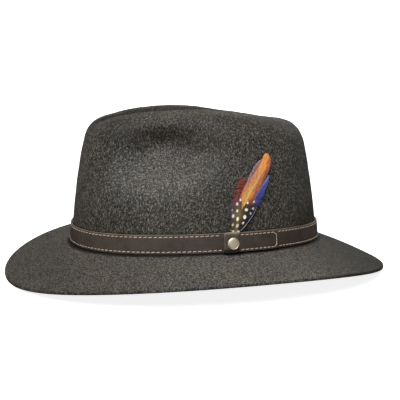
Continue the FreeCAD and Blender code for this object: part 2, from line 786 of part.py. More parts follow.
def make_stud():
    """Cap: low dome with a rim, hollow for the post.  Post: washer and shank in one."""
    hollow = cell("post_radius", POST_PLAY_SIDE)
    cap = turned_body("stud_cap", "cap", [
        (hollow, fixed(0.0)),
        (cell("cap_radius"), fixed(0.0)),
        (cell("cap_radius"), cell("cap_rim")),
        (cell("cap_radius", -0.55), cell("cap_rim", 0.35)),
        (cell("cap_radius", -1.9), cell("cap_rise", -0.35)),
        (cell("cap_radius", -3.3), cell("cap_rise", -0.05)),
        (fixed(0.0), cell("cap_rise")),
        (fixed(0.0), cell("cap_rise", -CAP_WALL)),
        (hollow, cell("cap_rise", -CAP_WALL)),
    ])
    cap.Placement = stud_place(CAP_SEAT)

    post_length = CAP_SEAT + size("cap_rise") - CAP_WALL - POST_PLAY_TOP - POST_SEAT
    post = turned_body("stud_post", "post", [
        (fixed(0.0), fixed(0.0)),
        (cell("washer_radius"), fixed(0.0)),
        (cell("washer_radius"), cell("washer_thick")),
        (cell("post_radius"), cell("washer_thick")),
        (cell("post_radius"), fixed(post_length)),
        (fixed(0.0), fixed(post_length)),
    ])
    post.Placement = stud_place(POST_SEAT)


# ---------------------------------------------------------------- feathers
BINDING_PLACE = (2.08, 2.55, 6.4)                # out, along, up
# from the innermost layer outwards; stations of (y, z, half width)
FEATHERS = [
    ("mauve_feather", [(0.5, 20.2, 0.4), (1.5, 27, 1.2), (3.5, 37, 2.2), (7.5, 47, 3.0),
                       (12.5, 55, 3.2), (17.5, 62, 3.0), (21.5, 68, 2.0), (23.5, 72.5, 0.4)]),
    ("blue_feather", [(2.5, 20.2, 0.4), (5.5, 26, 1.2), (10.5, 34, 2.6), (16, 41, 3.6),
                      (21, 48, 3.8), (26, 54, 2.8), (30.3, 59, 0.4)]),
    ("indigo_feather", [(3.5, 20.2, 0.4), (6.5, 23.5, 1.4), (11, 28, 2.4), (14.5, 32, 2.2),
                        (17.5, 36, 0.4)]),
    ("golden_feather", [(1.5, 20.2, 0.5), (3.5, 26, 1.6), (6.5, 34, 2.6), (10, 43, 3.4),
                        (15, 51, 4.0), (20.5, 59, 4.2), (25, 67, 3.6), (27.5, 73, 2.0),
                        (28, 76.2, 0.4)]),
    ("rust_hackle", [(0, 20.2, 0.5), (0.5, 28, 1.5), (1.0, 38, 3), (1.5, 46, 4.5),
                     (2.5, 52, 4.5), (3.5, 56, 3), (4.5, 59, 0.5)]),
    ("teal_herl", [(-1, 20.2, 0.5), (-3, 27, 1.8), (-4.5, 34, 2.6), (-5.5, 40, 2.2),
                   (-5, 44, 0.5)]),
    ("guinea_feather", [(-2.0, 20.2, 4.2), (-0.4, 25, 6.4), (2.0, 31, 8.0), (5.0, 36.5, 8.6),
                        (7.6, 41, 7.2), (9.0, 43.6, 3.0)]),
]


def make_binding():
    body, _ = rounded_plate("quill_binding", "binding", "binding_round", upright_edges)
    body.Placement = stud_place(*BINDING_PLACE)


def feather(offset, stations):
    """Thin strip that follows the crown, offset outside it."""
    thick = size("feather_thick")
    sections = []
    for i, (y, z, half_width) in enumerate(stations):
        before = stations[max(0, i - 1)]
        after = stations[min(len(stations) - 1, i + 1)]
        run, rise = after[0] - before[0], after[1] - before[1]
        length = math.hypot(run, rise)
        across_y, across_z = rise / length, -run / length
        if i == 0:                               # the lower end is cut level
            across_y, across_z = 1.0, 0.0
        shift_y, shift_z = across_y * half_width, across_z * half_width
        start = side_point(y - shift_y, z - shift_z, offset)
        end = side_point(y + shift_y, z + shift_z, offset)
        lift = normal(0.5 * (start.x + end.x), y, z) * thick
        sections.append([start, end, end + lift, start + lift])
    return strip(sections)


def make_feathers():
    for layer, (name, stations) in enumerate(FEATHERS):
        offset = size("feather_first") + size("feather_step") * layer
        add_solid(name, feather(offset, stations))


# ---------------------------------------------------------------- inside
SWEAT_IN, SWEAT_OUT = size("sweat_in"), size("sweat_out")
SWEAT_HEIGHT, REED_RADIUS = size("sweat_height"), size("reed_radius")
SWEAT_LOW = -1.0
SEAM_GAP = math.radians(0.25)                    # half the gap at the centre back
REED_HEIGHT, REED_INSET = -2.0, 0.45
SEAM_TAPE_HALF = 0.05                            # radians of plan angle
SWEAT_STITCH_MARGIN = 0.09                       # radians kept clear beside the seam
TAG_ANGLE, TAG_HALF = math.radians(153), 0.09
TAG_PLAY = 0.08


def reed_section(phi):
    """Eight-sided section of the reed."""
    z = saddle(phi) + REED_HEIGHT
    corners = []
    for i in range(8):
        angle = FULL_TURN * i / 8
        corner = wall(phi, z, -(SWEAT_IN + REED_INSET) + REED_RADIUS * math.cos(angle))
        corner.z += REED_RADIUS * math.sin(angle)
        corners.append(corner)
    return corners


def make_sweatband():
    start, end = BACK + SEAM_GAP, BACK + FULL_TURN - SEAM_GAP
    add_solid("sweatband", wall_strip((SWEAT_LOW, SWEAT_HEIGHT), (-SWEAT_IN, -SWEAT_OUT),
                                      start, end, 72))
    add_solid("reed_tape", wall_strip((SWEAT_LOW, 8.0), (-(FELT + 0.3), -(FELT + 0.55)),
                                      start, end, 72))
    reed_start, reed_turn = BACK + 2 * SEAM_GAP, FULL_TURN - 4 * SEAM_GAP
    add_solid("sweatband_reed", strip([reed_section(reed_start + reed_turn * i / 72)
                                       for i in range(73)]))
    add_solid("sweatband_stitch", Part.makeCompound(stitch_row(
        1.6, -(SWEAT_OUT + 0.12), BACK + SWEAT_STITCH_MARGIN,
        BACK + FULL_TURN - SWEAT_STITCH_MARGIN, pitch=4.2, length=2.6, inward=True)))
    add_solid("sweatband_seam_tape", wall_strip(
        (0.5, SWEAT_HEIGHT - 1.0), (-(SWEAT_OUT + 0.05), -(SWEAT_OUT + 0.4)),
        BACK - SEAM_TAPE_HALF, BACK + SEAM_TAPE_HALF, 4))


def make_size_tag():
    """Tag between lining and sweatband."""
    offsets = (-(FELT + LINING_GAP + LINING_THICK + TAG_PLAY), -(SWEAT_IN - TAG_PLAY))
    add_solid("size_tag", wall_strip((17.0, 37.5), offsets,
                                     TAG_ANGLE - TAG_HALF, TAG_ANGLE + TAG_HALF, 6))


# ---------------------------------------------------------------- bow
# stations of one loop: (distance from the centre back, centre z, half height, lift)
LOOP_STATIONS = [(3.0, 7.0, 1.6, 0.5), (6.0, 7.4, 3.0, 0.9), (10.0, 7.8, 3.7, 0.9),
                 (13.5, 7.9, 3.2, 0.5), (14.6, 7.9, 2.2, 0.2)]
LOOP_RADIUS = 98.0                               # turns distance into plan angle
LOOP_THICK = 0.9
LOOP_GAP, KNOT_GAP = 0.5, 1.05                   # inwards from the sweatband
KNOT_Z = 7.0


def bow_loop(sign):
    sections = []
    for distance, z, half_height, lift in LOOP_STATIONS:
        phi = BACK + sign * distance / LOOP_RADIUS
        near = -(SWEAT_OUT + LOOP_GAP + lift)
        far = near - LOOP_THICK
        low, high = z - half_height, z + half_height
        sections.append([wall(phi, low, near), wall(phi, high, near),
                         wall(phi, high, far), wall(phi, low, far)])
    return strip(sections)


def make_bow():
    add_solid("bow_loops", Part.makeCompound([bow_loop(sign) for sign in (-1, 1)]))
    knot, _ = rounded_plate("bow_knot", "knot", "knot_round", top_edges)
    knot.Placement = Placement(wall(BACK, KNOT_Z, -(SWEAT_OUT + KNOT_GAP)),
                               Rotation(Vector(1, 0, 0), 90))


# ---------------------------------------------------------------- build and write
make_felt_body()
make_lining()
make_band()
make_tab()
make_band_stitches()
make_tab_stitches()
make_keeper()
make_stud()
make_binding()
make_feathers()
make_sweatband()
make_size_tag()
make_bow()

doc.recompute()
for item in doc.Objects:
    for word in item.State:
        if word in ("Invalid", "Error"):
            raise RuntimeError("%s is %s" % (item.Name, word))
os.makedirs("parts", exist_ok=True)
for part in PARTS:
    if part.Shape.isNull() or not part.Shape.isValid():
        raise RuntimeError("%s has a bad shape" % part.Label)
    part.Shape.exportStep("parts/%s.step" % part.Label)
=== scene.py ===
"""Brushed felt hat with a leather band, a studded keeper and feathers on its left side.

Shapes are worked out in millimetres and scaled to metres when a mesh is made.  The front
of the hat is -Y, the wearer's left is +X and up is +Z; z = 0 is about where the crown
meets the brim.  A `turn` is an angle round the crown in radians: 0 at the front, pi/2 on
the wearer's left, pi at the back.  `out` is a distance outside the outer face of the felt.
"""
import math
import random

import bmesh
import bpy
import numpy as np
from mathutils import Matrix, Vector


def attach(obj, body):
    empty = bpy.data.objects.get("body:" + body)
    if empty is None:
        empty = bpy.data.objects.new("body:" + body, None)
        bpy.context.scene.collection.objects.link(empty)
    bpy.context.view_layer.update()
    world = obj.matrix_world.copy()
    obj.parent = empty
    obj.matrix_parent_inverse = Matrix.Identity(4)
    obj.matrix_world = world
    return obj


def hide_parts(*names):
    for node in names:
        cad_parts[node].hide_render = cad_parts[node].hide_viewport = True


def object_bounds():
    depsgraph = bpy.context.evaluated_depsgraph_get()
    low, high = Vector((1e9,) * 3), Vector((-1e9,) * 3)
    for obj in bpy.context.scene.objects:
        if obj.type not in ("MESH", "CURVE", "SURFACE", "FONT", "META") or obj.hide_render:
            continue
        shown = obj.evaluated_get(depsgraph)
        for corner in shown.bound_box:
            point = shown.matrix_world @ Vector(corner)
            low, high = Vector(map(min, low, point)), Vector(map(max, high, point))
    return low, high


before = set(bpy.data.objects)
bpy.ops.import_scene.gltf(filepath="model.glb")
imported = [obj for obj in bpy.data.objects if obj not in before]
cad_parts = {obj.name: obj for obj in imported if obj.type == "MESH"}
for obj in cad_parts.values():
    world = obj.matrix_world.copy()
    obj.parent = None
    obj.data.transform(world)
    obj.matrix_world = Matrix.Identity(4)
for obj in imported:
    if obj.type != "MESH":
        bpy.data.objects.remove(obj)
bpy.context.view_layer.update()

# ------------------------------------------------------------------ driving sizes, mm
MM = 0.001                    # metres in a millimetre
FELT = 2.4                    # felt thickness
HALF_LENGTH = 105.8           # crown oval at z = 0, centre to front
HALF_WIDTH = 87.7             # and centre to side
TURN_STEPS = 360
TURNS = np.linspace(0, 2 * np.pi, TURN_STEPS, endpoint=False)

BAND_LOW, BAND_HIGH = 0.6, 15.3   # edges of the band above the foot of the crown
BAND_IN, BAND_OUT = 0.5, 1.8      # faces of the band
TAB_IN, TAB_OUT = 1.9, 3.1        # faces of the tab lying over it
TAB_FRONT, TAB_BACK = -11.0, 35.5     # y of the tab's ends
TAB_CORNER = 2.8
SEAM_INSET = 1.75             # from a strap's edge to its sewing line
SEAMS = (BAND_LOW + SEAM_INSET, BAND_HIGH - SEAM_INSET)
STITCH_PITCH = 3.9
STITCH_SINK = 0.05            # how far a stitch sits into the leather

# Crown top: y, height of the ridges beside the dent
RIDGE_TOP = np.array([(-95, 96.7), (-70, 101.85), (-40, 107.55), (-15, 108.7),
                      (10, 106.7), (35, 103.05), (60, 100.1), (88, 97.6)])
# Crown top: y, half width of the dent
DENT_HALF = np.array([(-95, 10.0), (-75, 10.3), (-50, 22.2), (-20, 33.6),
                      (10, 39.5), (35, 34.3), (60, 30.6), (88, 15.9)])


# ------------------------------------------------------------------ small maths
def ease(value, start, stop):
    """Smooth step from 0 at start to 1 at stop; stop may be the smaller."""
    part = np.clip((value - start) / (stop - start), 0, 1)
    return part * part * (3 - 2 * part)


def bell(value, centre, width):
    return np.exp(-((value - centre) / width) ** 2)


def unit(vectors):
    """Vectors scaled to length 1; the small term keeps a zero vector finite."""
    return vectors / (np.linalg.norm(vectors, axis=-1, keepdims=True) + 1e-9)


def hermite(knots, values, x):
    """Smooth curve through the knots, carried on straight past both ends."""
    slope = np.zeros(len(knots))
    slope[1:-1] = (values[2:] - values[:-2]) / (knots[2:] - knots[:-2])
    slope[0] = (values[1] - values[0]) / (knots[1] - knots[0])
    slope[-1] = (values[-1] - values[-2]) / (knots[-1] - knots[-2])
    i = np.clip(np.searchsorted(knots, x) - 1, 0, len(knots) - 2)
    gap = knots[i + 1] - knots[i]
    part = (x - knots[i]) / gap
    held = np.clip(part, 0, 1)
    curve = ((1 + 2 * held) * (1 - held) ** 2 * values[i]
             + held * (1 - held) ** 2 * gap * slope[i]
             + held * held * (3 - 2 * held) * values[i + 1]
             + held * held * (held - 1) * gap * slope[i + 1])
    before = np.where(part < 0, part * gap * slope[i], 0)
    after = np.where(part > 1, (part - 1) * gap * slope[i + 1], 0)
    return curve + before + after


def bezier(start, control, end, count):
    part = np.linspace(0, 1, count)[:, None, None]
    return (1 - part) ** 2 * start + 2 * part * (1 - part) * control + part ** 2 * end


def run_length(points):
    """Distance travelled along a line of points."""
    steps = np.linalg.norm(np.diff(points, axis=0), axis=1)
    return np.concatenate([[0], np.cumsum(steps)])


# ------------------------------------------------------------------ form of the crown
def crown_oval(z):
    """Half length, half width and centre y of the crown wall at height z."""
    z = np.clip(z, -5, 130)
    return (HALF_LENGTH - 0.075 * z - 0.00081 * z * z,
            HALF_WIDTH - 0.085 * z - 0.00085 * z * z, -0.02 * z)


def crown_place(x, y, z):
    """Degrees from the front, part of the way out to the wall, distance outside the
    wall, half width of the dent, and |x| as a part of that."""
    half_length, half_width, centre = crown_oval(z)
    degrees = np.degrees(np.arctan2(np.abs(x) / half_width, -(y - centre) / half_length))
    part = np.hypot(x / half_width, (y - centre) / half_length)
    outside = (part - 1) * 0.5 * (half_length + half_width)
    dent_half = np.maximum(hermite(*DENT_HALF.T, y), 3.0)
    return degrees, part, outside, dent_half, np.abs(x) / dent_half


def pinches(x, z, degrees, part):
    """Depth of the finger pinches beside the front; the right one is further back."""
    right = x < 0
    centre = np.where(right, 54.9, 47.2)
    ahead = degrees < centre
    spread = np.where(ahead, np.where(right, 19.0, 15.8), np.where(right, 32.0, 34.3))
    off_centre = np.abs((degrees - centre) / spread) ** np.where(ahead, 2.0, 2.6)
    rise = z - 74.7 - 0.116 * (degrees - centre)
    return (np.where(right, 17.8, 23.9) * np.exp(-off_centre)
            * np.exp(-(rise / np.where(rise > 0, 20.8, 17.5)) ** 2)
            * ease(z, 36, 58) * ease(part, 0.35, 0.65))


def crown_field(x, y, z):
    """About the distance outside the crown's outer face; negative inside."""
    degrees, part, outside, dent_half, across = crown_place(x, y, z)
    ridge = hermite(*RIDGE_TOP.T, y)
    dent = 17.0 * ease(y, -96, -46) * ease(y, 88, 46)
    top = np.where(across < 1, ridge - dent * (1 - across * across) ** 2,
                   ridge - (np.abs(x) - dent_half) ** 2 / 160.0)
    above = z - top
    # rounding where the top meets the wall: tighter at the front, fuller at the back
    radius = 14.5 + (12.9 - 14.5) * ease(y, -40, -80) + (19.0 - 14.5) * ease(y, 35, 75)
    mix = np.clip(0.5 + 0.5 * (outside - above) / radius, 0, 1)
    field = above * (1 - mix) + outside * mix + radius * mix * (1 - mix)
    # the upper front is drawn in slightly
    field = field + 0.6 * bell(y, -92.0, 13.0) * ease(z, 66, 88)
    return field + pinches(x, z, degrees, part)


def crown_normal(points, step=0.25):
    slopes = [crown_field(*np.moveaxis(points + shift, -1, 0))
              - crown_field(*np.moveaxis(points - shift, -1, 0))
              for shift in np.eye(3) * step]
    return unit(np.stack(slopes, -1))


def find_face(place, low, high, shape, rounds=40):
    """Halves the reach until place(reach) lies on the crown's outer face."""
    low, high = np.full(shape, low), np.full(shape, high)
    for _ in range(rounds):
        middle = 0.5 * (low + high)
        inside = crown_field(*place(middle)) < 0
        low, high = np.where(inside, middle, low), np.where(inside, high, middle)
    return low


def saddle(turn):
    """Height of the foot of the crown, which dips at the front and back."""
    return 0.42 * np.cos(turn) - 2.43 * np.cos(2 * turn)


def wall(turn, z, out=0.0):
    """Points on the straight part of the crown wall."""
    turn, z, out = np.broadcast_arrays(np.asarray(turn, float), np.asarray(z, float),
                                       np.asarray(out, float))
    half_length, half_width, centre = crown_oval(z)
    normal_x, normal_y = np.sin(turn) / half_width, -np.cos(turn) / half_length
    size = np.hypot(normal_x, normal_y)
    return np.stack([half_width * np.sin(turn) + out * normal_x / size,
                     centre - half_length * np.cos(turn) + out * normal_y / size, z], -1)


def band_point(turn, height, out):
    """Point on the wall, at a height above the foot of the crown."""
    return wall(turn, saddle(turn) + height, out)


def turn_at(y):
    """Turn on the wearer's left at which the foot of the crown reaches y."""
    return math.acos(max(-1.0, min(1.0, -y / HALF_LENGTH)))


# ------------------------------------------------------------------ mesh helpers
def grid_faces(rows, columns, base=0):
    """Quads of a grid of points whose last column joins its first."""
    row = np.arange(rows - 1)[:, None]
    column = np.arange(columns)[None, :]
    after = (column + 1) % columns
    quads = np.stack([row * columns + column, row * columns + after,
                      (row + 1) * columns + after, (row + 1) * columns + column], -1)
    return quads.reshape(-1, 4) + base


def tube_faces(rows, columns):
    """A grid closed round, with one flat face on each end."""
    last = (rows - 1) * columns
    return [*grid_faces(rows, columns), tuple(range(columns))[::-1],
            tuple(range(last, last + columns))]


def fanned_grid(rows):
    """Points and faces of a grid closed round, with a fan to a centre at each end."""
    count, columns = rows.shape[:2]
    points = np.concatenate([rows.reshape(-1, 3), [rows[0].mean(0), rows[-1].mean(0)]])
    faces = list(grid_faces(count, columns))
    first_centre, last_centre = count * columns, count * columns + 1
    last = (count - 1) * columns
    for j in range(columns):
        k = (j + 1) % columns
        faces += [(first_centre, k, j), (last_centre, last + j, last + k)]
    return points, faces


def add_piece(name, points, faces, material, node, slot, body="hat"):
    """Makes a smooth closed object facing outward, in place of the CAD piece `node`."""
    mesh = bpy.data.meshes.new(name)
    mesh.from_pydata([tuple(p) for p in (np.asarray(points, float) * MM)], [],
                     [tuple(int(i) for i in face) for face in faces])
    mesh.validate()
    mesh.polygons.foreach_set("use_smooth", [True] * len(mesh.polygons))
    piece = bpy.data.objects.new(name, mesh)
    bpy.context.scene.collection.objects.link(piece)
    mesh.materials.append(material)
    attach(piece, body)
    work = bmesh.new()
    work.from_mesh(mesh)
    bmesh.ops.recalc_face_normals(work, faces=work.faces)
    work.to_mesh(mesh)
    work.free()
    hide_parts(node)
    return piece


def mesh_points(piece):
    return np.array([vertex.co for vertex in piece.data.vertices]) * 1000.0


def paint(piece, colours):
    """Stores a colour per point, which the materials read as "Col"."""
    layer = piece.data.color_attributes.new("Col", "FLOAT_COLOR", "POINT")
    values = np.ones((len(piece.data.vertices), 4), np.float32)
    values[:, :3] = colours
    layer.data.foreach_set("color", values.ravel())


class Parts:
    """Collects several closed shapes into one mesh, with colours if wanted."""

    def __init__(self):
        self.points, self.faces, self.colours, self.count = [], [], [], 0

    def add(self, points, faces):
        self.points.append(np.asarray(points))
        self.faces += [tuple(i + self.count for i in face) for face in faces]
        self.count += len(points)

    def make(self, name, *details):
        piece = add_piece(name, np.concatenate(self.points), self.faces, *details)
        if self.colours:
            paint(piece, np.concatenate(self.colours))
        return piece


# ------------------------------------------------------------------ materials
class Shader:
    """Builds a node tree that feeds the Principled shader."""

    def __init__(self, name):
        self.material = bpy.data.materials.new(name)
        self.material.use_nodes = True
        self.tree = self.material.node_tree
        self.position = self.node("TexCoord").outputs["Object"]

    def feed(self, node, inputs):
        """Links each input to a socket, or sets it to a plain value."""
        for key, value in inputs.items():
            if isinstance(value, bpy.types.NodeSocket):
                self.tree.links.new(value, node.inputs[key])
            else:
                node.inputs[key].default_value = value

    def node(self, kind, inputs=None, **settings):
        node = self.tree.nodes.new("ShaderNode" + kind)
        for key, value in settings.items():
            setattr(node, key, value)
        self.feed(node, inputs or {})
        return node

    def noise(self, scale, detail=2.0, rough=0.5, vector=None, distort=0.0):
        vector = self.position if vector is None else vector
        return self.node("TexNoise", {"Scale": scale, "Detail": detail, "Roughness": rough,
                                      "Distortion": distort, "Vector": vector}).outputs["Fac"]

    def wave(self, direction, scale, distort):
        return self.node("TexWave", {"Scale": scale, "Distortion": distort,
                                     "Vector": self.position},
                         wave_type="BANDS", bands_direction=direction).outputs["Fac"]

    def stretch(self, scale, turn=(0, 0, 0)):
        return self.node("Mapping", {"Scale": scale, "Rotation": turn,
                                     "Vector": self.position}).outputs["Vector"]

    def ramp(self, factor, stops):
        """stops: (position, grey level or RGB)."""
        node = self.node("ValToRGB", {"Fac": factor})
        elements = node.color_ramp.elements
        while len(elements) < len(stops):
            elements.new(0.5)
        for element, (position, colour) in zip(elements, stops):
            element.position = position
            element.color = (*(colour if isinstance(colour, tuple) else (colour,) * 3), 1)
        return node.outputs["Color"]

    def math(self, operation, first, second):
        return self.node("Math", {0: first, 1: second}, operation=operation).outputs[0]

    def mix(self, factor, first, second, mode="MULTIPLY"):
        first, second = ((*colour, 1) if isinstance(colour, tuple) else colour
                         for colour in (first, second))
        # inputs 6 and 7 and output 2 are the node's colour sockets
        return self.node("Mix", {0: factor, 6: first, 7: second},
                         data_type="RGBA", blend_type=mode).outputs[2]

    def point_colour(self):
        return self.node("Attribute", attribute_name="Col").outputs["Color"]

    def bump(self, height, distance, strength, under=None):
        inputs = {"Distance": distance, "Strength": strength, "Height": height}
        if under is not None:
            inputs["Normal"] = under
        return self.node("Bump", inputs).outputs["Normal"]

    def finish(self, **inputs):
        """Feeds the Principled shader; an underscore stands for a space."""
        inputs = {key.replace("_", " "): value for key, value in inputs.items()}
        self.feed(self.tree.nodes["Principled BSDF"], inputs)
        return self.material


def scaled(colour, factor):
    return tuple(factor * channel for channel in colour)


def felt_material():
    shader = Shader("felt")
    fine = shader.noise(scale=1600, detail=1.5, rough=0.6)
    clumps = shader.noise(scale=680, detail=2.0, rough=0.6, distort=0.5)
    hairs = shader.noise(scale=1450, detail=1.5, rough=0.55,
                         vector=shader.stretch((1.0, 0.55, 0.30), turn=(0.5, 0.3, 0.9)))
    cloud = shader.noise(scale=24)
    # the three noises are weighed 0.44 : 0.24 : 0.32
    nap = shader.math("ADD", shader.math("MULTIPLY", fine, 0.44),
                      shader.math("MULTIPLY", clumps, 0.24))
    nap = shader.math("ADD", nap, shader.math("MULTIPLY", hairs, 0.32))
    # the brim is brushed flat, so level faces are mottled up to 1.65 times as strongly
    split = shader.node("SeparateXYZ", {0: shader.node("NewGeometry").outputs["Normal"]})
    level = shader.ramp(shader.math("ABSOLUTE", split.outputs["Z"], 0.0),
                        [(0.75, 0), (0.97, 1)])
    contrast = shader.math("ADD", shader.math("MULTIPLY", level, 0.65), 1.0)
    nap = shader.math("MULTIPLY", shader.math("SUBTRACT", nap, 0.5), contrast)
    nap = shader.math("ADD", nap, 0.5)
    brightness = 0.625
    colour = shader.ramp(nap, [(0.402, scaled((0.014, 0.0132, 0.0121), brightness)),
                               (0.47, scaled((0.046, 0.0433, 0.0392), brightness)),
                               (0.53, scaled((0.104, 0.0980, 0.0885), brightness)),
                               (0.594, scaled((0.345, 0.325, 0.290), brightness))])
    tint = shader.ramp(cloud, [(0.35, (0.93, 0.93, 0.95)), (0.65, (1.07, 1.05, 1.0))])
    colour = shader.mix(1.0, colour, tint)
    # painted shade: creases and joints within 4.2 mm are darkened by ambient occlusion
    crease_occlusion_shade = shader.node("AmbientOcclusion", {"Distance": 0.0042}, samples=6)
    shade = shader.ramp(crease_occlusion_shade.outputs["AO"],
                        [(0.45, (0.12, 0.115, 0.11)), (0.62, (0.42, 0.415, 0.41)),
                         (0.80, 0.90), (0.93, 1.0)])
    colour = shader.mix(1.0, colour, shade)
    # the point colours hold painted shadow at the crown's foot and painted light and shade
    # over the felt
    colour = shader.mix(1.0, colour, shader.point_colour())
    relief = shader.bump(fine, distance=0.0006, strength=0.45)
    relief = shader.bump(hairs, distance=0.0005, strength=0.4, under=relief)
    return shader.finish(Base_Color=colour, Normal=relief, Roughness=0.6,
                         Diffuse_Roughness=0.6, Specular_IOR_Level=0.18)


def leather_material(name, dark, light, scale, rough, specular=0.45, tinted=False):
    """scale sizes the grain cells; tinted leather is multiplied by its point colours."""
    relief_depth = 0.00018
    shader = Shader(name)
    cells = shader.node("TexVoronoi", {"Scale": scale, "Vector": shader.position},
                        feature="DISTANCE_TO_EDGE")
    cells = shader.ramp(cells.outputs["Distance"], [(0.0, 0), (0.09, 1)])
    cloud = shader.noise(scale=90, detail=4, rough=0.6)
    grain = shader.noise(scale=2300, detail=2, rough=0.6)
    colour = shader.ramp(cloud, [(0.3, dark), (0.7, light)])
    colour = shader.mix(0.18, colour, cells)
    scuffs = shader.ramp(shader.noise(scale=700, detail=4, rough=0.7),
                         [(0.35, 0.84), (0.68, (1.16, 1.14, 1.12))])
    colour = shader.mix(1.0, colour, scuffs)
    if tinted:
        colour = shader.mix(1.0, colour, shader.point_colour())
    relief = shader.bump(cells, distance=relief_depth, strength=0.5)
    relief = shader.bump(grain, distance=relief_depth * 0.7, strength=0.35, under=relief)
    gloss = shader.ramp(shader.noise(scale=220, detail=3, rough=0.6),
                        [(0.3, rough[0]), (0.7, rough[1])])
    return shader.finish(Base_Color=colour, Roughness=gloss, Normal=relief,
                         Specular_IOR_Level=specular)


def thread_material(name, colour):
    shader = Shader(name)
    twist = shader.wave("DIAGONAL", scale=2600, distort=1.0)
    return shader.finish(Base_Color=shader.ramp(twist, [(0.0, scaled(colour, 0.55)),
                                                        (0.6, colour)]),
                         Normal=shader.bump(twist, distance=0.0001, strength=0.5),
                         Roughness=0.7)


def metal_material(name, colour, rough):
    shader = Shader(name)
    brushing = shader.noise(scale=1500, vector=shader.stretch((1, 1, 0.06)))
    tarnish = shader.noise(scale=260, detail=3, rough=0.6)
    surface = shader.mix(shader.math("MULTIPLY", tarnish, 0.35), colour,
                         scaled(colour, 0.72), mode="MIX")
    gloss = shader.ramp(brushing, [(0.3, rough * 0.8), (0.7, rough * 1.35)])
    return shader.finish(Base_Color=surface, Roughness=gloss, Metallic=1.0,
                         Normal=shader.bump(brushing, distance=0.00003, strength=0.35))


def fabric_material(name, colour, scale, rough, sheen, relief=0.00008):
    shader = Shader(name)
    ribs, warp, weft = (shader.wave(axis, scale=scale, distort=0.3) for axis in "ZXY")
    weave = shader.math("ADD", shader.math("MULTIPLY", ribs, 0.5),
                        shader.math("MULTIPLY", shader.math("ADD", warp, weft), 0.25))
    cloud = shader.noise(scale=60, detail=3)
    surface = shader.ramp(weave, [(0.1, scaled(colour, 0.6)), (0.8, colour)])
    surface = shader.mix(0.25, surface, shader.ramp(cloud, [(0.3, 0.75), (0.7, 1.1)]))
    return shader.finish(Base_Color=surface, Roughness=rough, Sheen_Weight=sheen,
                         Normal=shader.bump(weave, distance=relief, strength=0.6))


def feather_material(name, rough, sheen):
    shader = Shader(name)
    dyed = shader.point_colour()
    flecks = shader.noise(scale=2600, rough=0.6, vector=shader.stretch((1, 1.0, 0.25)))
    shade = shader.ramp(flecks, [(0.25, 0.72), (0.75, 1.22)])
    return shader.finish(Base_Color=shader.mix(1.0, dyed, shade), Roughness=rough,
                         Normal=shader.bump(flecks, distance=0.00006, strength=0.4),
                         Sheen_Weight=sheen, Sheen_Roughness=0.35, Specular_IOR_Level=0.35)


def mottled_material(name, dark, light, mottle, relief_scale, relief, strength, rough,
                     **inputs):
    """Plain material with soft mottling; mottle holds the noise settings."""
    shader = Shader(name)
    colour = shader.ramp(shader.noise(**mottle), [(0.3, dark), (0.7, light)])
    normal = shader.bump(shader.noise(scale=relief_scale), relief, strength)
    return shader.finish(Base_Color=colour, Normal=normal, Roughness=rough, **inputs)


FELT_CLOTH = felt_material()
BAND_LEATHER = leather_material(
    "band_leather", dark=(0.036, 0.0268, 0.0212), light=(0.060, 0.0458, 0.0365),
    scale=1100, rough=(0.48, 0.64), specular=0.34, tinted=True)
KEEPER_LEATHER = leather_material(
    "keeper_leather", dark=(0.034, 0.028, 0.021), light=(0.061, 0.050, 0.038),
    scale=1000, rough=(0.44, 0.6), specular=0.35, tinted=True)
TAN_THREAD = thread_material("tan_thread", (0.74, 0.61, 0.46))
STUD_METAL = metal_material("stud_metal", (0.74, 0.65, 0.52), rough=0.55)
SWEAT_LEATHER = leather_material(
    "sweat_leather", dark=(0.10, 0.062, 0.040), light=(0.16, 0.105, 0.070),
    scale=700, rough=(0.35, 0.5))
SIDE_SATIN = fabric_material("satin_lining", (0.085, 0.078, 0.082), scale=2600,
                             rough=0.32, sheen=0.2, relief=0.00004)
RIBBON = fabric_material("ribbon", (0.035, 0.032, 0.032), scale=1600, rough=0.6, sheen=0.3)
POST_METAL = metal_material("post_metal", (0.50, 0.38, 0.20), rough=0.42)
DYED_FEATHER = feather_material("feather_dyed", rough=0.5, sheen=0.22)
GUINEA_FEATHER = feather_material("feather_guinea", rough=0.55, sheen=0.25)
DARK_THREAD = thread_material("dark_thread", (0.05, 0.04, 0.04))
REED_PLASTIC = mottled_material(
    "reed_plastic", dark=(0.30, 0.285, 0.25), light=(0.40, 0.38, 0.34),
    mottle={"scale": 300}, relief_scale=1200, relief=0.00005, strength=0.4, rough=0.4)
WOVEN_TAPE = fabric_material("woven_tape", (0.06, 0.055, 0.055), scale=2000,
                             rough=0.7, sheen=0.3)
SWEAT_THREAD = thread_material("sweat_thread", (0.20, 0.15, 0.11))
TIP_SATIN = fabric_material("satin_tip", (0.080, 0.074, 0.079), scale=2600,
                            rough=0.30, sheen=0.2, relief=0.00004)
TAG_PAPER = mottled_material(
    "tag_paper", dark=(0.60, 0.57, 0.48), light=(0.72, 0.69, 0.60),
    mottle={"scale": 400, "detail": 3, "rough": 0.6},
    relief_scale=1500, relief=0.00004, strength=0.4, rough=0.8)


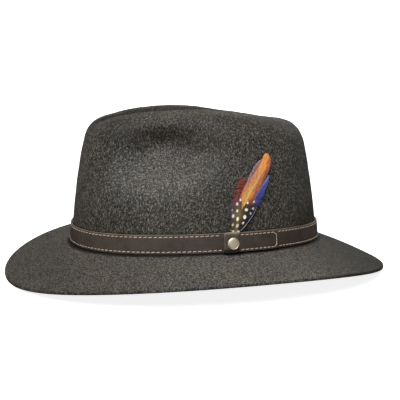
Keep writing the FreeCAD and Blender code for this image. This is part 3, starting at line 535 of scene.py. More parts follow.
# ------------------------------------------------------------------ felt body
def crown_rows():
    """Rows of points on the outer face, from the top down to the foot."""
    elevations = np.concatenate([np.linspace(89.2, 60, 46), np.linspace(59.3, 14, 76),
                                 np.linspace(13, 0, 12)])
    heights = np.concatenate([np.linspace(53, 20, 18), np.linspace(18, 4.5, 8)])
    centre_z = 55             # the upper rows fan out from this point on the axis
    rows = []

    def add_row(place, low, high):
        rows.append(np.stack(place(find_face(place, low, high, TURN_STEPS)), -1))

    for elevation in np.radians(elevations):
        level, rise = math.cos(elevation), math.sin(elevation)
        x, y = level * np.sin(TURNS) * 0.85, -level * np.cos(TURNS)
        add_row(lambda reach: (reach * x, reach * y, centre_z + reach * rise), 1.0, 140.0)
    for height in heights:
        z = height + saddle(TURNS) * max(0.0, 1 - height / 30.0)
        x, y, _ = wall(TURNS, z).T
        add_row(lambda reach: (x * reach, y * reach, z), 0.5, 1.3)
    return np.array(rows)


CROWN = crown_rows()
CROWN_NORMALS = crown_normal(CROWN)


def lumps(points):
    """Slow unevenness of hand-blocked felt."""
    x, y, z = np.moveaxis(points, -1, 0)
    return 0.22 * (
        np.sin(x * 0.071 + 1.3) * np.sin(y * 0.063 + 0.4) * np.cos(z * 0.083 + 0.2)
        + 0.55 * np.sin(x * 0.137 - 0.7) * np.cos(y * 0.121 + 1.9) * np.sin(z * 0.11 + 2.2)
        + 0.3 * np.sin(x * 0.29 + y * 0.23 + 0.5) * np.cos(y * 0.26 - z * 0.31))


def brim_edge(turn):
    """Outer edge of the brim: a slightly squared oval that rises at the sides."""
    sine, cosine = np.sin(turn), np.cos(turn)
    power = 2 / 2.06
    half_length = np.where(cosine > 0, 160.5, 162.3)      # front, back
    x = np.sign(sine) * 144.2 * np.abs(sine) ** power
    y = -np.sign(cosine) * half_length * np.abs(cosine) ** power
    z = (-15.85 + 0.77 * cosine - 9.4 * np.cos(2 * turn) - 0.46 * np.cos(3 * turn)
         - 0.21 * np.cos(4 * turn) - 0.24 * np.cos(5 * turn))
    return np.stack([x, y, z], -1)


def brim_rows(base, parts, drop):
    """Rows at given parts of the way from base to the brim's edge, lowered by drop."""
    start = base + np.array([0, 0, drop])
    span = brim_edge(TURNS) - start
    reach = np.hypot(span[:, 0], span[:, 1])
    bow = 0.029 - 0.048 * np.cos(TURNS) + 0.041 * np.cos(2 * TURNS)
    rows = []
    for part in parts:
        row = start + span * part
        row[:, 2] += bow * reach * part * (1 - part) - drop
        rows.append(row)
    return np.array(rows)


def felt_shell():
    """Rows over the outside, round the brim's edge and back up the inside."""
    foot = wall(TURNS, saddle(TURNS))
    foot_inner = wall(TURNS, saddle(TURNS), -FELT)
    foot_inner[:, 2] -= FELT
    parts = np.concatenate([[0.045, 0.052, 0.06, 0.068, 0.078, 0.09, 0.103],
                            np.linspace(0.12, 0.985, 42)])
    upper = brim_rows(foot, parts, 0.0)
    lower = brim_rows(foot_inner, parts[::-1], FELT)
    inner = (CROWN - CROWN_NORMALS * FELT)[::-1][::2]
    edge_upper = brim_rows(foot, [1.0], 0.0)[0]
    edge_lower = brim_rows(foot_inner, [1.0], FELT)[0]
    outward = unit(edge_upper - upper[-1])
    rim = []
    for angle in np.radians([62, 38, 12, -12, -38, -62]):
        share = 0.5 + 0.5 * math.sin(angle)
        rim.append(edge_upper * share + edge_lower * (1 - share)
                   - outward * 0.55 * (1 - math.cos(angle) ** 0.6))
    fillet = bezier(CROWN[-1], foot, upper[0], 8)[1:-1]
    fillet_inner = bezier(lower[-1], foot_inner, inner[0], 8)[1:-1]
    return np.concatenate([CROWN, fillet, upper, np.array(rim), lower, fillet_inner, inner])


def felt_painted_light(points):
    """Painted light and shade on the felt: shade in the dent, the pinches and the top, a
    highlight below the pinches, a darker brim towards its ends and back.
    """
    x, y, z = points.T
    degrees, _, _, _, across = crown_place(x, y, z)
    # painted shade over the upper slope of the pinches
    sideways = np.abs((degrees - 32.0) / np.where(degrees < 32, 15.0, 40.0)) ** 2.4
    upright = np.abs((z - 90.0 + 0.06 * (degrees - 32)) / 9.0) ** 2.4
    dark = 0.46 * np.exp(-sideways - upright) * ease(across, 0.98, 1.14)
    # painted highlight below the pinches
    pale = 0.23 * bell(degrees, 56.0, 24.0) * bell(z, 55.0, 15.0)
    # painted shade inside the dent between the ridges
    dent = (0.46 * ease(across, 0.97, 0.75) * ease(z, 78, 86)
            * ease(y, -98, -82) * ease(y, 92, 72))
    # painted light, brightest about 50 degrees round from the front
    base = 0.75 + 0.17 * bell(degrees, 50.0, 20.0) + 0.05 * ease(degrees, 95, 125)
    # painted shade over the top of the crown above 90 mm
    crown = (base + pale) * (1 - dark) * (1 - dent) * (1 - 0.22 * ease(z, 90, 102))
    # painted shade on the brim, darker towards its ends and towards the back
    brim = 0.79 - 0.20 * ease(np.abs(y), 35, 140) - 0.29 * ease(y, 20, 80)
    on_crown = ease(z, 22, 36)
    return brim * (1 - on_crown) + crown * on_crown


def build_felt():
    shell = felt_shell()
    # the unevenness fades out towards the band
    fade = ease(CROWN[..., 2], 20, 35)
    shell[:len(CROWN)] += CROWN_NORMALS * (lumps(CROWN) * fade)[..., None]
    felt = add_piece("felt_hat_body", *fanned_grid(shell), FELT_CLOTH, "felt_body", "felt")

    # painted shadow along the foot of the crown, where the felt runs in under the strap, the
    # tab and the keeper
    points = mesh_points(felt)
    x, y, z = points.T
    turn = np.arctan2(x / HALF_WIDTH, -y / HALF_LENGTH)
    foot = wall(turn, saddle(turn))
    gap = np.hypot(x, y) - np.hypot(foot[:, 0], foot[:, 1])
    left = x > 0
    by_tab = left * ease(y, -12.5, -10.5) * ease(y, 36.5, 34.5)
    by_keeper = left * ease(y, -12.5, -11.0) * ease(y, 3.0, 1.5)
    cover = BAND_OUT + 1.3 * by_tab + 1.3 * by_keeper
    depth = 0.82 + 0.10 * by_keeper
    painted_tone = 1 - depth * (1 - ease(gap - cover, 0.8, 3.4)) * (z < 8)
    # painted light and shade over the crown and brim
    painted_tone *= felt_painted_light(points)
    warm = ease(painted_tone, 0.98, 0.53)            # where the painted shade is deeper it is also browner
    paint(felt, np.stack([painted_tone, painted_tone * (1 - 0.035 * warm), painted_tone * (1 - 0.09 * warm)], -1))


build_felt()


# ------------------------------------------------------------------ band and tab
def ring_piece(name, section, material, node, slot, ends=None, count=360):
    """Strip round the crown, closed unless ends gives its first and last turn.
    section(turns) returns a row of points along the strip for each section point."""
    turns = (np.linspace(0, 2 * np.pi, count, endpoint=False) if ends is None
             else np.linspace(*ends, count))
    rows = section(turns).transpose(1, 0, 2)
    size = rows.shape[1]
    if ends is None:
        last = (count - 1) * size
        faces = list(grid_faces(count, size))
        for j in range(size):
            k = (j + 1) % size
            faces.append((last + j, last + k, k, j))
    else:
        faces = tube_faces(count, size)
    return add_piece(name, rows.reshape(-1, 3), faces, material, node, slot)


def strap_profile(inside, outside):
    """Section (height, out) of a strap with rounded edges and two sewing grooves."""
    radius, groove_depth, groove_width = 0.42, 0.16, 0.42
    middle, half = (BAND_LOW + BAND_HIGH) / 2, (BAND_HIGH - BAND_LOW) / 2
    centre_out = outside - radius
    points = [(BAND_LOW + 0.15, inside)]
    for angle in np.radians([-90, -60, -30, 0]):
        points.append((BAND_LOW + radius + radius * math.sin(angle),
                       centre_out + radius * math.cos(angle)))
    for z in np.linspace(BAND_LOW + radius + 0.15, BAND_HIGH - radius - 0.15, 40):
        out = outside - 0.1 * abs((z - middle) / half) ** 3
        for seam in SEAMS:
            out -= groove_depth * bell(z, seam, groove_width)
        points.append((z, out))
    for angle in np.radians([0, 30, 60, 90]):
        points.append((BAND_HIGH - radius + radius * math.sin(angle),
                       centre_out + radius * math.cos(angle)))
    points.append((BAND_HIGH - 0.15, inside))
    return np.array(points)


BAND_PROFILE = strap_profile(BAND_IN, BAND_OUT)
TAB_PROFILE = strap_profile(TAB_IN, TAB_OUT)


def strap_section(profile):
    return lambda turn: np.array([band_point(turn, z, out) for z, out in profile])


def tab_section(turn):
    """Low at the front, under the keeper; corners rounded at the free back end."""
    front_high = 11.0
    y = -HALF_LENGTH * np.cos(turn)
    near_end = np.clip((y - (TAB_BACK - TAB_CORNER)) / TAB_CORNER, 0, 1)
    cut = TAB_CORNER * (1 - np.sqrt(np.maximum(1 - near_end * near_end, 0.0)))
    high = front_high + (BAND_HIGH - front_high) * ease(y, 0.0, 0.7) - cut
    low = BAND_LOW + cut
    squeeze = (high - low) / (BAND_HIGH - BAND_LOW)
    return np.array([band_point(turn, low + (z - BAND_LOW) * squeeze, out)
                     for z, out in TAB_PROFILE])


def tint_strap(strap):
    """Top edge paler (raw edge and painted highlight), seams burnished brown, painted shade
    along the bottom edge, painted light towards both ends.
    """
    y = mesh_points(strap)[:, 1:2]
    height = np.resize(BAND_PROFILE[:, 0], len(y))[:, None]
    # painted light towards the front and back ends of the strap
    light = (1 + 0.16 * ease(y, -60, -90) + 0.34 * ease(y, 45, 80) + 0.45 * ease(y, 72, 94))
    # paler top edge: partly the raw edge, partly a painted highlight
    top = bell(height, BAND_HIGH - 0.25, 0.42)
    seam = sum(bell(height, line, 0.8) for line in SEAMS)
    # painted shade along the bottom edge
    painted_bottom_shade = ease(height, BAND_LOW + 0.55, BAND_LOW + 0.05)
    paint(strap, light * (1 + top * np.array([2.0, 1.95, 1.85]))
          * (1 + seam * np.array([0.10, -0.04, -0.12])) * (1 - 0.55 * painted_bottom_shade))


tint_strap(ring_piece("leather_hat_band", strap_section(BAND_PROFILE), BAND_LEATHER,
                      "hat_band", "band_leather"))
tint_strap(ring_piece("leather_band_tab", tab_section, BAND_LEATHER, "band_tab",
                      "band_leather", (turn_at(TAB_FRONT), turn_at(TAB_BACK)), 150))


# ------------------------------------------------------------------ stitches
def capsule(centre, along, normal, length, radius):
    """Points and faces of a short, flattened, rounded thread."""
    flatness, sides = 0.62, 8
    along = unit(along)
    normal = unit(normal - along * np.dot(normal, along))
    side = np.cross(normal, along)
    points = []
    angles = np.radians(np.linspace(-90, 90, 13))
    for angle in angles:
        end = math.sin(angle)
        ring = radius * max(math.cos(angle), 0.0) ** 0.45
        dip = -0.28 * radius * abs(end) ** 3
        for k in range(sides):
            spin = 2 * math.pi * k / sides
            points.append(centre + along * (end * length / 2) + side * ring * math.cos(spin)
                          + normal * (ring * flatness * math.sin(spin) + dip))
    return points, tube_faces(len(angles), sides)


def stitch_piece(name, spots, node, material=TAN_THREAD, length=2.75, radius=0.25,
                 tilt=0.10):
    """One capsule per spot (centre, direction, unit normal)."""
    parts = Parts()
    chance = random.Random(len(spots))
    for centre, along, normal in spots:
        along = unit(along)
        lean = tilt + chance.uniform(-0.03, 0.03)
        along = along + np.cross(normal, along) * lean
        size = length * chance.uniform(0.95, 1.05)
        parts.add(*capsule(centre + normal * 0.05, along, normal, size, radius))
    parts.make(name, material, node, "thread")


def row_spots(height, out, start, stop, pitch=STITCH_PITCH, facing=1):
    """Stitch spots at an even pitch between two turns; facing -1 turns them inward."""
    spots, turn, step = [], start, 0.01
    while turn < stop:
        ahead = band_point(turn + step, height, out) - band_point(turn, height, out)
        advance = pitch / (np.linalg.norm(ahead) / step)
        middle = turn + advance / 2
        if middle > stop:
            break
        along = (band_point(middle + step, height, out)
                 - band_point(middle - step, height, out))
        rise = band_point(middle, height + 1, out) - band_point(middle, height - 1, out)
        spots.append((band_point(middle, height, out), along,
                      facing * unit(np.cross(along, rise))))
        turn += advance
    return spots


def tab_spots():
    """Two rows, three stitches across the back end, and one at each corner."""
    out = TAB_OUT - STITCH_SINK
    spots = []
    for seam in SEAMS[::-1]:
        spots += row_spots(seam, out, turn_at(1.4), turn_at(31.0))
    end = turn_at(33.6)
    for height in (5.2, 8.0, 10.8):
        centre = band_point(end, height, out)
        rise = band_point(end, height + 1, out) - centre
        along = wall(end + 0.01, saddle(end) + height, out) - centre
        spots.append((centre, rise, unit(np.cross(along, rise))))
    row_end, end_row = turn_at(31.6), turn_at(33.5)
    normal = crown_normal(wall(0.5 * (row_end + end_row), 10.0))
    for height, next_height in ((BAND_HIGH - 1.95, BAND_HIGH - 3.5),
                                (BAND_LOW + 1.95, BAND_LOW + 3.5)):
        start = band_point(row_end, height, out)
        stop = band_point(end_row, next_height, out)
        spots.append((0.5 * (start + stop), stop - start, normal))
    return spots


# the band's seams stop either side of the tab
BAND_SEAM = (BAND_OUT - STITCH_SINK, turn_at(36.4), turn_at(-12.6) + 2 * np.pi)
stitch_piece("stitches_band_upper", row_spots(SEAMS[1], *BAND_SEAM), "band_stitch_top")
stitch_piece("stitches_band_lower", row_spots(SEAMS[0], *BAND_SEAM), "band_stitch_bottom")
stitch_piece("stitches_tab", tab_spots(), "tab_stitch")

# ------------------------------------------------------------------ keeper patch and stud
STUD_FOOT = wall(turn_at(-4.75), 9.3)
STUD_AXIS = crown_normal(STUD_FOOT)
STUD_BACKWARD = unit(np.cross([0, 0, 1.0], STUD_AXIS))
STUD_UP = np.cross(STUD_AXIS, STUD_BACKWARD)
KEEPER_SIZE = (12.4, 16.2)
KEEPER_CENTRE = (-1.2, 0.8, 3.25)       # backward, up and out from the stud's foot


def by_stud(backward, up, out):
    """Point measured from the stud's foot on the wearer's left."""
    return STUD_FOOT + STUD_BACKWARD * backward + STUD_UP * up + STUD_AXIS * out


def rounded_outline(width, height, radius, count=96):
    """Evenly spaced points of a rounded rectangle."""
    x, y = width / 2 - radius, height / 2 - radius
    points = []
    for centre_x, centre_y, start in ((x, y, 0), (-x, y, 90), (-x, -y, 180), (x, -y, 270)):
        for angle in np.radians(np.linspace(start, start + 90, 10)):
            points.append((centre_x + radius * math.cos(angle),
                           centre_y + radius * math.sin(angle)))
    points = np.array(points + [points[0]])
    run = run_length(points)
    stops = np.linspace(0, run[-1], count, endpoint=False)
    return np.stack([np.interp(stops, run, points[:, i]) for i in (0, 1)], -1)


def plate(name, size, corner, thick, bevel, rings, place, swell, *details):
    """Rounded plate with soft edges.  place(across, up, out) gives its points and
    swell(across, up) bends both of its faces out."""
    outline = rounded_outline(*size, corner)
    half = min(size) / 2
    extent = np.abs(outline).max(0)

    def ring(inset, out):
        pulled = outline * (1 - inset / (half if inset > bevel * 1.5 else extent))
        return [place(across, up, out + swell(across, up)) for across, up in pulled]

    rows = [ring(inset, 0.0) for inset in np.linspace(half * 0.97, bevel * 1.6, 4)]
    rows.append(ring(bevel * 0.3, 0.0))
    for angle in np.radians([0, 25, 50, 70, 90]):
        rows.append(ring(bevel * (1 - math.cos(angle)),
                         thick - bevel + bevel * math.sin(angle)))
    rows += [ring(inset, thick) for inset in np.linspace(bevel * 1.6, half * 0.97, rings)]
    return add_piece(name, *fanned_grid(np.array(rows)), *details)


def keeper_place(backward, up, out):
    centre_backward, centre_up, centre_out = KEEPER_CENTRE
    return by_stud(backward + centre_backward, up + centre_up, centre_out + out)


def keeper_swell(backward, up):
    """Bends back over the edges of the strap, with a low ring round the stud."""
    half_width, half_height = KEEPER_SIZE[0] / 2, KEEPER_SIZE[1] / 2
    to_stud = math.hypot(backward + KEEPER_CENTRE[0], up + KEEPER_CENTRE[1])
    return (-0.34 * max(0.0, (abs(backward) - half_width + 2.0) / 2.0) ** 2
            - 0.30 * max(0.0, (abs(up) - half_height + 2.0) / 2.0) ** 2
            - 0.22 * bell(to_stud, 5.2, 0.8) - 0.35 * (abs(up) / half_height) ** 4
            + 0.10 * math.sin(backward * 0.9 + 0.4) * math.sin(up * 0.5 + 0.9))


def build_keeper():
    keeper = plate("leather_keeper_patch", KEEPER_SIZE, 2.4, 1.1, 0.4, 18, keeper_place,
                   keeper_swell, KEEPER_LEATHER, "keeper_patch", "band_leather")
    offset = mesh_points(keeper) - by_stud(*KEEPER_CENTRE)
    up, backward = offset @ STUD_UP, offset @ STUD_BACKWARD
    # painted highlight along the top and front edges, painted shade towards the bottom under
    # the stud
    painted_tone = (1.28 * (1 + 2.2 * bell(up, 7.7, 0.8)) * (1 + 0.5 * bell(backward, -5.9, 0.5))
            * (1 - 0.80 * ease(up, -3.4, -5.6)))
    paint(keeper, painted_tone[:, None])


def lathe(name, profile, out, sides, *details):
    """Piece turned about the stud's axis.  profile is (radius, out), from the axis round
    the outside and back to the axis."""
    (_, start), *rings, (_, stop) = profile
    points = [by_stud(0, 0, out + start)]
    for radius, rise in rings:
        for k in range(sides):
            spin = 2 * math.pi * k / sides
            points.append(by_stud(radius * math.cos(spin), radius * math.sin(spin),
                                  out + rise))
    points.append(by_stud(0, 0, out + stop))
    last_ring = 1 + (len(rings) - 1) * sides
    faces = [(0, 1 + k, 1 + (k + 1) % sides) for k in range(sides)]
    faces += list(grid_faces(len(rings), sides, base=1))
    faces += [(last_ring + k, last_ring + (k + 1) % sides, len(points) - 1)
              for k in range(sides)]
    add_piece(name, points, faces, *details)


def arc(centre_radius, centre_out, radius, start, stop, count):
    return [(centre_radius + radius * math.cos(angle), centre_out + radius * math.sin(angle))
            for angle in np.radians(np.linspace(start, stop, count))]


# (radius, out): flat disc with a rolled rim and a fine groove inside it
CAP_PROFILE = [
    (0.0, 0.55), (3.6, 0.5), (3.9, 0.0), *arc(4.4, 0.3, 0.30, -90, 60, 7),
    (4.26, 0.80), (4.12, 0.94), *arc(3.92, 0.98, 0.2, 20, 150, 6),
    (3.68, 0.98), (3.60, 0.90), (3.52, 0.92), (3.35, 1.02), (2.9, 1.08),
    (2.3, 1.12), (1.6, 1.15), (0.8, 1.17), (0.0, 1.18)]
# (radius, out): wide foot and a plain shank
POST_PROFILE = [
    (0.0, 0.0), (2.45, 0.0), (2.6, 0.08), (2.6, 0.2), (2.45, 0.28), (1.4, 0.30),
    (1.2, 0.45), (1.2, 4.6), (1.1, 4.72), (0.0, 4.74)]

build_keeper()
lathe("stud_cap_disc", CAP_PROFILE, 4.32, 96, STUD_METAL, "stud_cap", "stud_metal")
lathe("stud_rivet_post", POST_PROFILE, 0.12, 48, POST_METAL, "stud_post", "post_metal")

# ------------------------------------------------------------------ ground under the feathers
SIDE_Y, SIDE_Z = np.arange(-26.0, 62.0, 1.0), np.arange(8.0, 128.0, 1.0)
SIDE_TOP = 92.0               # above this height the side is carried straight up


def side_table():
    """x of the crown's left side and its normal, on the grid SIDE_Y by SIDE_Z."""
    y, z = np.meshgrid(SIDE_Y, SIDE_Z, indexing="ij")
    z = np.minimum(z, SIDE_TOP)
    x = find_face(lambda reach: (reach, y, z), 15.0, 125.0, y.shape, rounds=36)
    return np.concatenate([x[..., None], crown_normal(np.stack([x, y, z], -1))], -1)


SIDE = side_table()


def on_side(y, z, out):
    """Points and normals outside the crown on the wearer's left."""
    row = np.clip(y - SIDE_Y[0], 0, len(SIDE_Y) - 2.001)
    column = np.clip(z - SIDE_Z[0], 0, len(SIDE_Z) - 2.001)
    i, j = row.astype(int), column.astype(int)
    right, up = (row - i)[:, None], (column - j)[:, None]
    value = ((1 - right) * (1 - up) * SIDE[i, j] + right * (1 - up) * SIDE[i + 1, j]
             + (1 - right) * up * SIDE[i, j + 1] + right * up * SIDE[i + 1, j + 1])
    normal = unit(value[:, 1:])
    return np.stack([value[:, 0], y, z], -1) + normal * out[:, None], normal


# ------------------------------------------------------------------ feather colours
def linear(*rgb):
    """Linear colour of an sRGB triple from 0 to 255, or of an array of them."""
    rgb = np.array(rgb[0] if len(rgb) == 1 else rgb, float) / 255.0
    return np.where(rgb <= 0.04045, rgb / 12.92, ((rgb + 0.055) / 1.055) ** 2.4)


def dye_ramp(value, stops):
    """Colour at value, from stops of (value, red, green, blue)."""
    stops = np.array(stops, float)
    colours = linear(stops[:, 1:])
    return np.stack([np.interp(value, stops[:, 0], colours[:, i]) for i in range(3)], -1)


def blend(first, second, share):
    share = share[..., None]
    return first * (1 - share) + second * share


# Each dye takes the part of the way up the shaft, the part of the way out along the
# barb (negative towards the front) and y, z, and returns colours.
def gold_dye(up, side, y, z):
    colour = dye_ramp(up, [(0.0, 150, 124, 62), (0.3, 188, 152, 66), (0.5, 204, 156, 74),
                           (0.72, 194, 132, 84), (0.86, 220, 140, 60), (1.0, 222, 122, 56)])
    back = dye_ramp(up, [(0.0, 104, 36, 60), (0.35, 150, 70, 48), (0.6, 196, 94, 48),
                         (0.85, 172, 76, 42), (1.0, 172, 80, 50)])
    front = dye_ramp(up, [(0.0, 120, 30, 66), (0.3, 186, 66, 70), (0.42, 226, 134, 70),
                          (0.6, 190, 112, 76), (0.8, 204, 140, 70), (1.0, 206, 144, 62)])
    colour = blend(colour, back, ease(side, 0.15, 0.72))
    colour = blend(colour, front, ease(-side, 0.25, 0.8))
    # paler rays between the barbs, a grey-violet tinge on the outer back edge
    rays = (0.5 + 0.5 * np.sin(side * 9.0 + up * 31.0)) * 0.16
    colour = blend(colour, linear(236, 206, 186), rays)
    edge = ease(side, 0.82, 1.0) * ease(up, 0.3, 0.5) * 0.5
    colour = blend(colour, linear(170, 128, 136), edge)
    grey = colour.mean(-1, keepdims=True)
    return np.clip(grey + (colour - grey) * 1.09, 0.002, 1.0)     # a stronger dye


def mauve_dye(up, side, y, z):
    colour = dye_ramp(side, [(-1, 160, 142, 148), (-0.6, 132, 94, 104), (0, 150, 88, 90),
                             (1, 160, 84, 72)])
    return colour * (0.8 + 0.3 * np.sin(up * 60)[..., None] ** 2)


def blue_dye(up, side, y, z):
    colour = dye_ramp(up, [(0.0, 40, 26, 82), (0.4, 50, 44, 124), (0.7, 66, 72, 152),
                           (1.0, 92, 102, 164)])
    colour = blend(colour, linear(158, 148, 190), ease(-side, 0.2, 0.8))
    return colour * (0.85 + 0.25 * (1 - np.abs(side))[..., None])


def indigo_dye(up, side, y, z):
    colour = dye_ramp(up, [(0.0, 46, 36, 70), (0.5, 52, 32, 118), (1.0, 56, 30, 100)])
    return colour * (0.8 + 0.3 * np.abs(side)[..., None])


def rust_dye(up, side, y, z):
    return dye_ramp(np.abs(side), [(0, 132, 44, 22), (0.5, 196, 76, 28), (1, 142, 52, 34)])


def teal_dye(up, side, y, z):
    colour = dye_ramp(up, [(0.0, 34, 22, 42), (0.4, 46, 26, 52), (0.65, 78, 30, 50),
                           (1.0, 122, 44, 44)])
    edge = ease(-side, 0.72, 1.0) * ease(up, 0.2, 0.4) * 0.7
    return blend(colour, linear(44, 52, 66), edge)


def teal_wisp_dye(up, side, y, z):
    return np.tile(linear(26, 66, 64), (len(y), 1))


# Pale spots of the guinea feather: y, z, half width, half height
GUINEA_SPOTS = [
    (-1.52, 38.9, 0.98, 1.15), (1.17, 41.64, 0.72, 1.15), (6.92, 39.12, 0.66, 0.8),
    (12.12, 39.79, 0.72, 1.15), (-1.63, 33.84, 0.8, 1.15), (5.6, 34.09, 1.25, 1.05),
    (11.37, 34.83, 1.0, 0.95), (-5.07, 30.1, 0.95, 1.4), (4.03, 28.94, 1.2, 1.5),
    (9.3, 30.98, 1.05, 0.85), (-1.72, 27.74, 0.95, 1.45), (-7.88, 24.58, 0.66, 1.25),
    (-5.26, 23.48, 0.8, 1.4), (-1.62, 22.67, 1.02, 1.55), (2.87, 24.49, 0.82, 1.15),
    (-6.95, 19.07, 0.85, 0.95), (-4.66, 18.57, 0.8, 0.8), (-0.22, 18.26, 0.72, 0.8)]
GUINEA_RING = (-6.4, 34.9, 1.05, 1.35)      # one spot is only an outline, open at the top
SPOT_LEAN = -0.28                           # radians


def spot_distance(y, z, spot):
    """1 on the outline of a leaning oval spot."""
    spot_y, spot_z, half_width, half_height = spot
    cosine, sine = math.cos(SPOT_LEAN), math.sin(SPOT_LEAN)
    off_y, off_z = y - spot_y, z - spot_z
    return np.hypot((off_y * cosine + off_z * sine) / half_width,
                    (-off_y * sine + off_z * cosine) / half_height)


def guinea_dye(up, side, y, z):
    out = np.abs(side)
    back = dye_ramp(out, [(0, 124, 104, 56), (0.3, 92, 76, 42), (0.6, 46, 37, 25),
                          (1, 30, 24, 22)])
    front = dye_ramp(out, [(0, 126, 106, 60), (0.4, 116, 96, 58), (0.75, 92, 74, 48),
                           (1, 46, 36, 30)])
    colour = np.where((side < 0)[..., None], front, back)
    # dyed tips: crimson on the front branch, rusty on the back one
    tips = np.where((y < 3.5)[..., None], linear(112, 40, 58), linear(150, 74, 46))
    colour = blend(colour, tips, ease(z, 36.0, 41.0))
    pale = np.zeros(np.shape(y))
    for spot in GUINEA_SPOTS:
        pale = np.maximum(pale, 1 - ease(spot_distance(y, z, spot), 0.86, 1.14))
    off_ring = np.abs(spot_distance(y, z, GUINEA_RING) - 0.85)
    ring = (1 - ease(off_ring, 0.18, 0.34)) * (z < GUINEA_RING[1] + 0.7)
    return blend(colour, linear(255, 246, 228), np.maximum(pale, ring))


# ------------------------------------------------------------------ feather shapes
class CentreLine:
    """Feather's shaft in (y, z), with half widths towards the front and the back."""

    def __init__(self, stations):
        self.stations = np.array(stations, float)
        run = run_length(self.stations[:, :2])
        self.length = run[-1]
        self.parts = run / run[-1]

    def at(self, part):
        part = np.clip(part, 0, 1)
        return [hermite(self.parts, column, part) for column in self.stations.T]

    def direction(self, part, step=0.004):
        before = self.at(np.clip(part - step, 0, 1))
        after = self.at(np.clip(part + step, 0, 1))
        along_y, along_z = after[0] - before[0], after[1] - before[1]
        size = np.hypot(along_y, along_z)
        return along_y / size, along_z / size


def lift_off(z, out, layer):
    """The quills come out together low down and spread to their own `out` above."""
    spread = ease(z, 17.5, 28.5)
    return (2.35 + 0.08 * layer) * (1 - spread) + out * spread


def add_strand(parts, y, z, out, width, thick, colours, barb=True):
    """Thin closed strand of triangular section; a barb keeps its width on slopes."""
    points, normals = on_side(y, z, out)
    across = np.cross(normals, unit(np.gradient(points, axis=0)))
    if barb:
        across = unit(across)
    half = across * (width / 2)[:, None]
    corners = [points - half, points + half, points + normals * thick[:, None]]
    parts.add(np.stack(corners, 1).reshape(-1, 3), tube_faces(len(points), 3))
    parts.colours.append(np.repeat(colours, 3, 0))


def add_shaft(parts, y, z, out, width, thick, rgb):
    add_strand(parts, y, z, out, width, thick, np.tile(linear(*rgb), (len(y), 1)), barb=False)


def add_vane(parts, stations, layer, out, dye, count, sweep, width, arch, seed, jitter,
             split, shaft_rgb, start=0.06, ragged=None):
    """Two rows of barbs on a shaft.  sweep leans the barbs to the tip, split is the
    chance of a gap opening, ragged the range of uneven barb lengths."""
    line = CentreLine(stations)
    chance = np.random.default_rng(seed)
    part = np.linspace(0.0, 1.0, 9)
    spacing = line.length * (0.985 - start) / count
    widths = np.maximum(spacing * width * (1 - 0.55 * part ** 1.5), 0.07)
    thick = np.maximum(0.16 * (1 - 0.6 * part), 0.04)
    for side, column in ((-1, 2), (1, 3)):
        drift = 0.0
        for i in range(count):
            root = start + (0.985 - start) * (i + chance.uniform(-0.2, 0.2)) / count
            if chance.uniform() < split:
                drift = chance.uniform(0.25, 0.8)
            drift *= 0.72
            forward = (sweep * (0.9 * line.at(root)[column] + 1.2) / line.length
                       * (1 + 0.12 * chance.standard_normal()) * (1 + 0.35 * drift))
            up = np.clip(root + forward * part ** 1.25, 0, 1.0)
            stations_up = line.at(up)
            along_y, along_z = line.direction(up)
            reach = (part * (1 + jitter * 0.25 * chance.standard_normal())
                     * (1 - 0.10 * drift))
            lateral = side * stations_up[column] * np.minimum(reach, 1.05)
            if ragged:
                lateral = lateral * chance.uniform(*ragged)
            y = stations_up[0] + along_z * lateral
            z = stations_up[1] - along_y * lateral
            height = (lift_off(z, out, layer) + arch * (1 - part ** 2) - 0.25 * arch
                      + 0.05 * chance.standard_normal())
            colours = (dye(up, side * part, y, z) * (1 + jitter * chance.standard_normal())
                       * (1 + 0.25 * jitter * chance.standard_normal((1, 3))))
            add_strand(parts, y, z, height, widths, thick, np.clip(colours, 0.0005, 1.0))
    up = np.linspace(0, 0.97, 40)
    y, z, _, _ = line.at(up)
    shaft = 0.95 * (1 - 0.8 * up)
    add_shaft(parts, y, z, lift_off(z, out, layer) + arch * 0.75 + 0.10, shaft,
              0.5 * shaft + 0.05, shaft_rgb)


def add_wisps(parts, stations, layer, out, dye, count, seed, length, taper, low, high,
              curl, width, rise, shaft_rgb):
    """Loose curling barbs on the front of a shaft, longest four fifths of the way up
    when taper, the loss of length along the shaft, is not 0."""
    line = CentreLine(stations)
    chance = np.random.default_rng(seed)
    steps = 12
    part = np.linspace(0, 1, steps)
    widths = width * (1 - 0.6 * part)
    for i in range(count):
        root = low + (high - low) * (i + chance.uniform(-0.35, 0.35)) / count
        root_y, root_z, _, _ = line.at(root)
        along_y, along_z = line.direction(root)
        step = (length - taper * abs(root - 0.8)) * chance.uniform(0.7, 1.15) / steps
        # start across the shaft, then curl toward the tip
        angle = (math.atan2(along_y, -along_z)
                 - 0 + (-1) * -1 * (rise * (0.35 + chance.uniform(-0.15, 0.15))
                                    + curl * part * chance.uniform(0.4, 1.5)))
        step_y, step_z = np.cos(angle), np.sin(angle)
        y = root_y + (np.cumsum(step_y) - step_y[0]) * step
        z = root_z + (np.cumsum(step_z) - step_z[0]) * step
        height = (lift_off(z, out, layer)
                  + 0.5 * np.sin(part * 2.4 + chance.uniform(0, 1.5)) * part
                  * chance.uniform(0.2, 1.0) + 0.15)
        colours = dye(np.full(steps, root), -part, y, z) * chance.uniform(0.7, 1.35)
        add_strand(parts, y, z, height, widths, 0.6 * widths, np.clip(colours, 0.0005, 1))
    up = np.linspace(0, 0.97, 30)
    y, z, _, _ = line.at(up)
    shaft = 0.55 * (1 - 0.75 * up)
    add_shaft(parts, y, z, lift_off(z, out, layer) + 0.1, shaft, 0.6 * shaft, shaft_rgb)


def along_line(line, part):
    """Points on a smooth line at parts of its length."""
    line = np.array(line, float)
    run = run_length(line)
    return np.stack([hermite(run / run[-1], column, part) for column in line.T], -1)


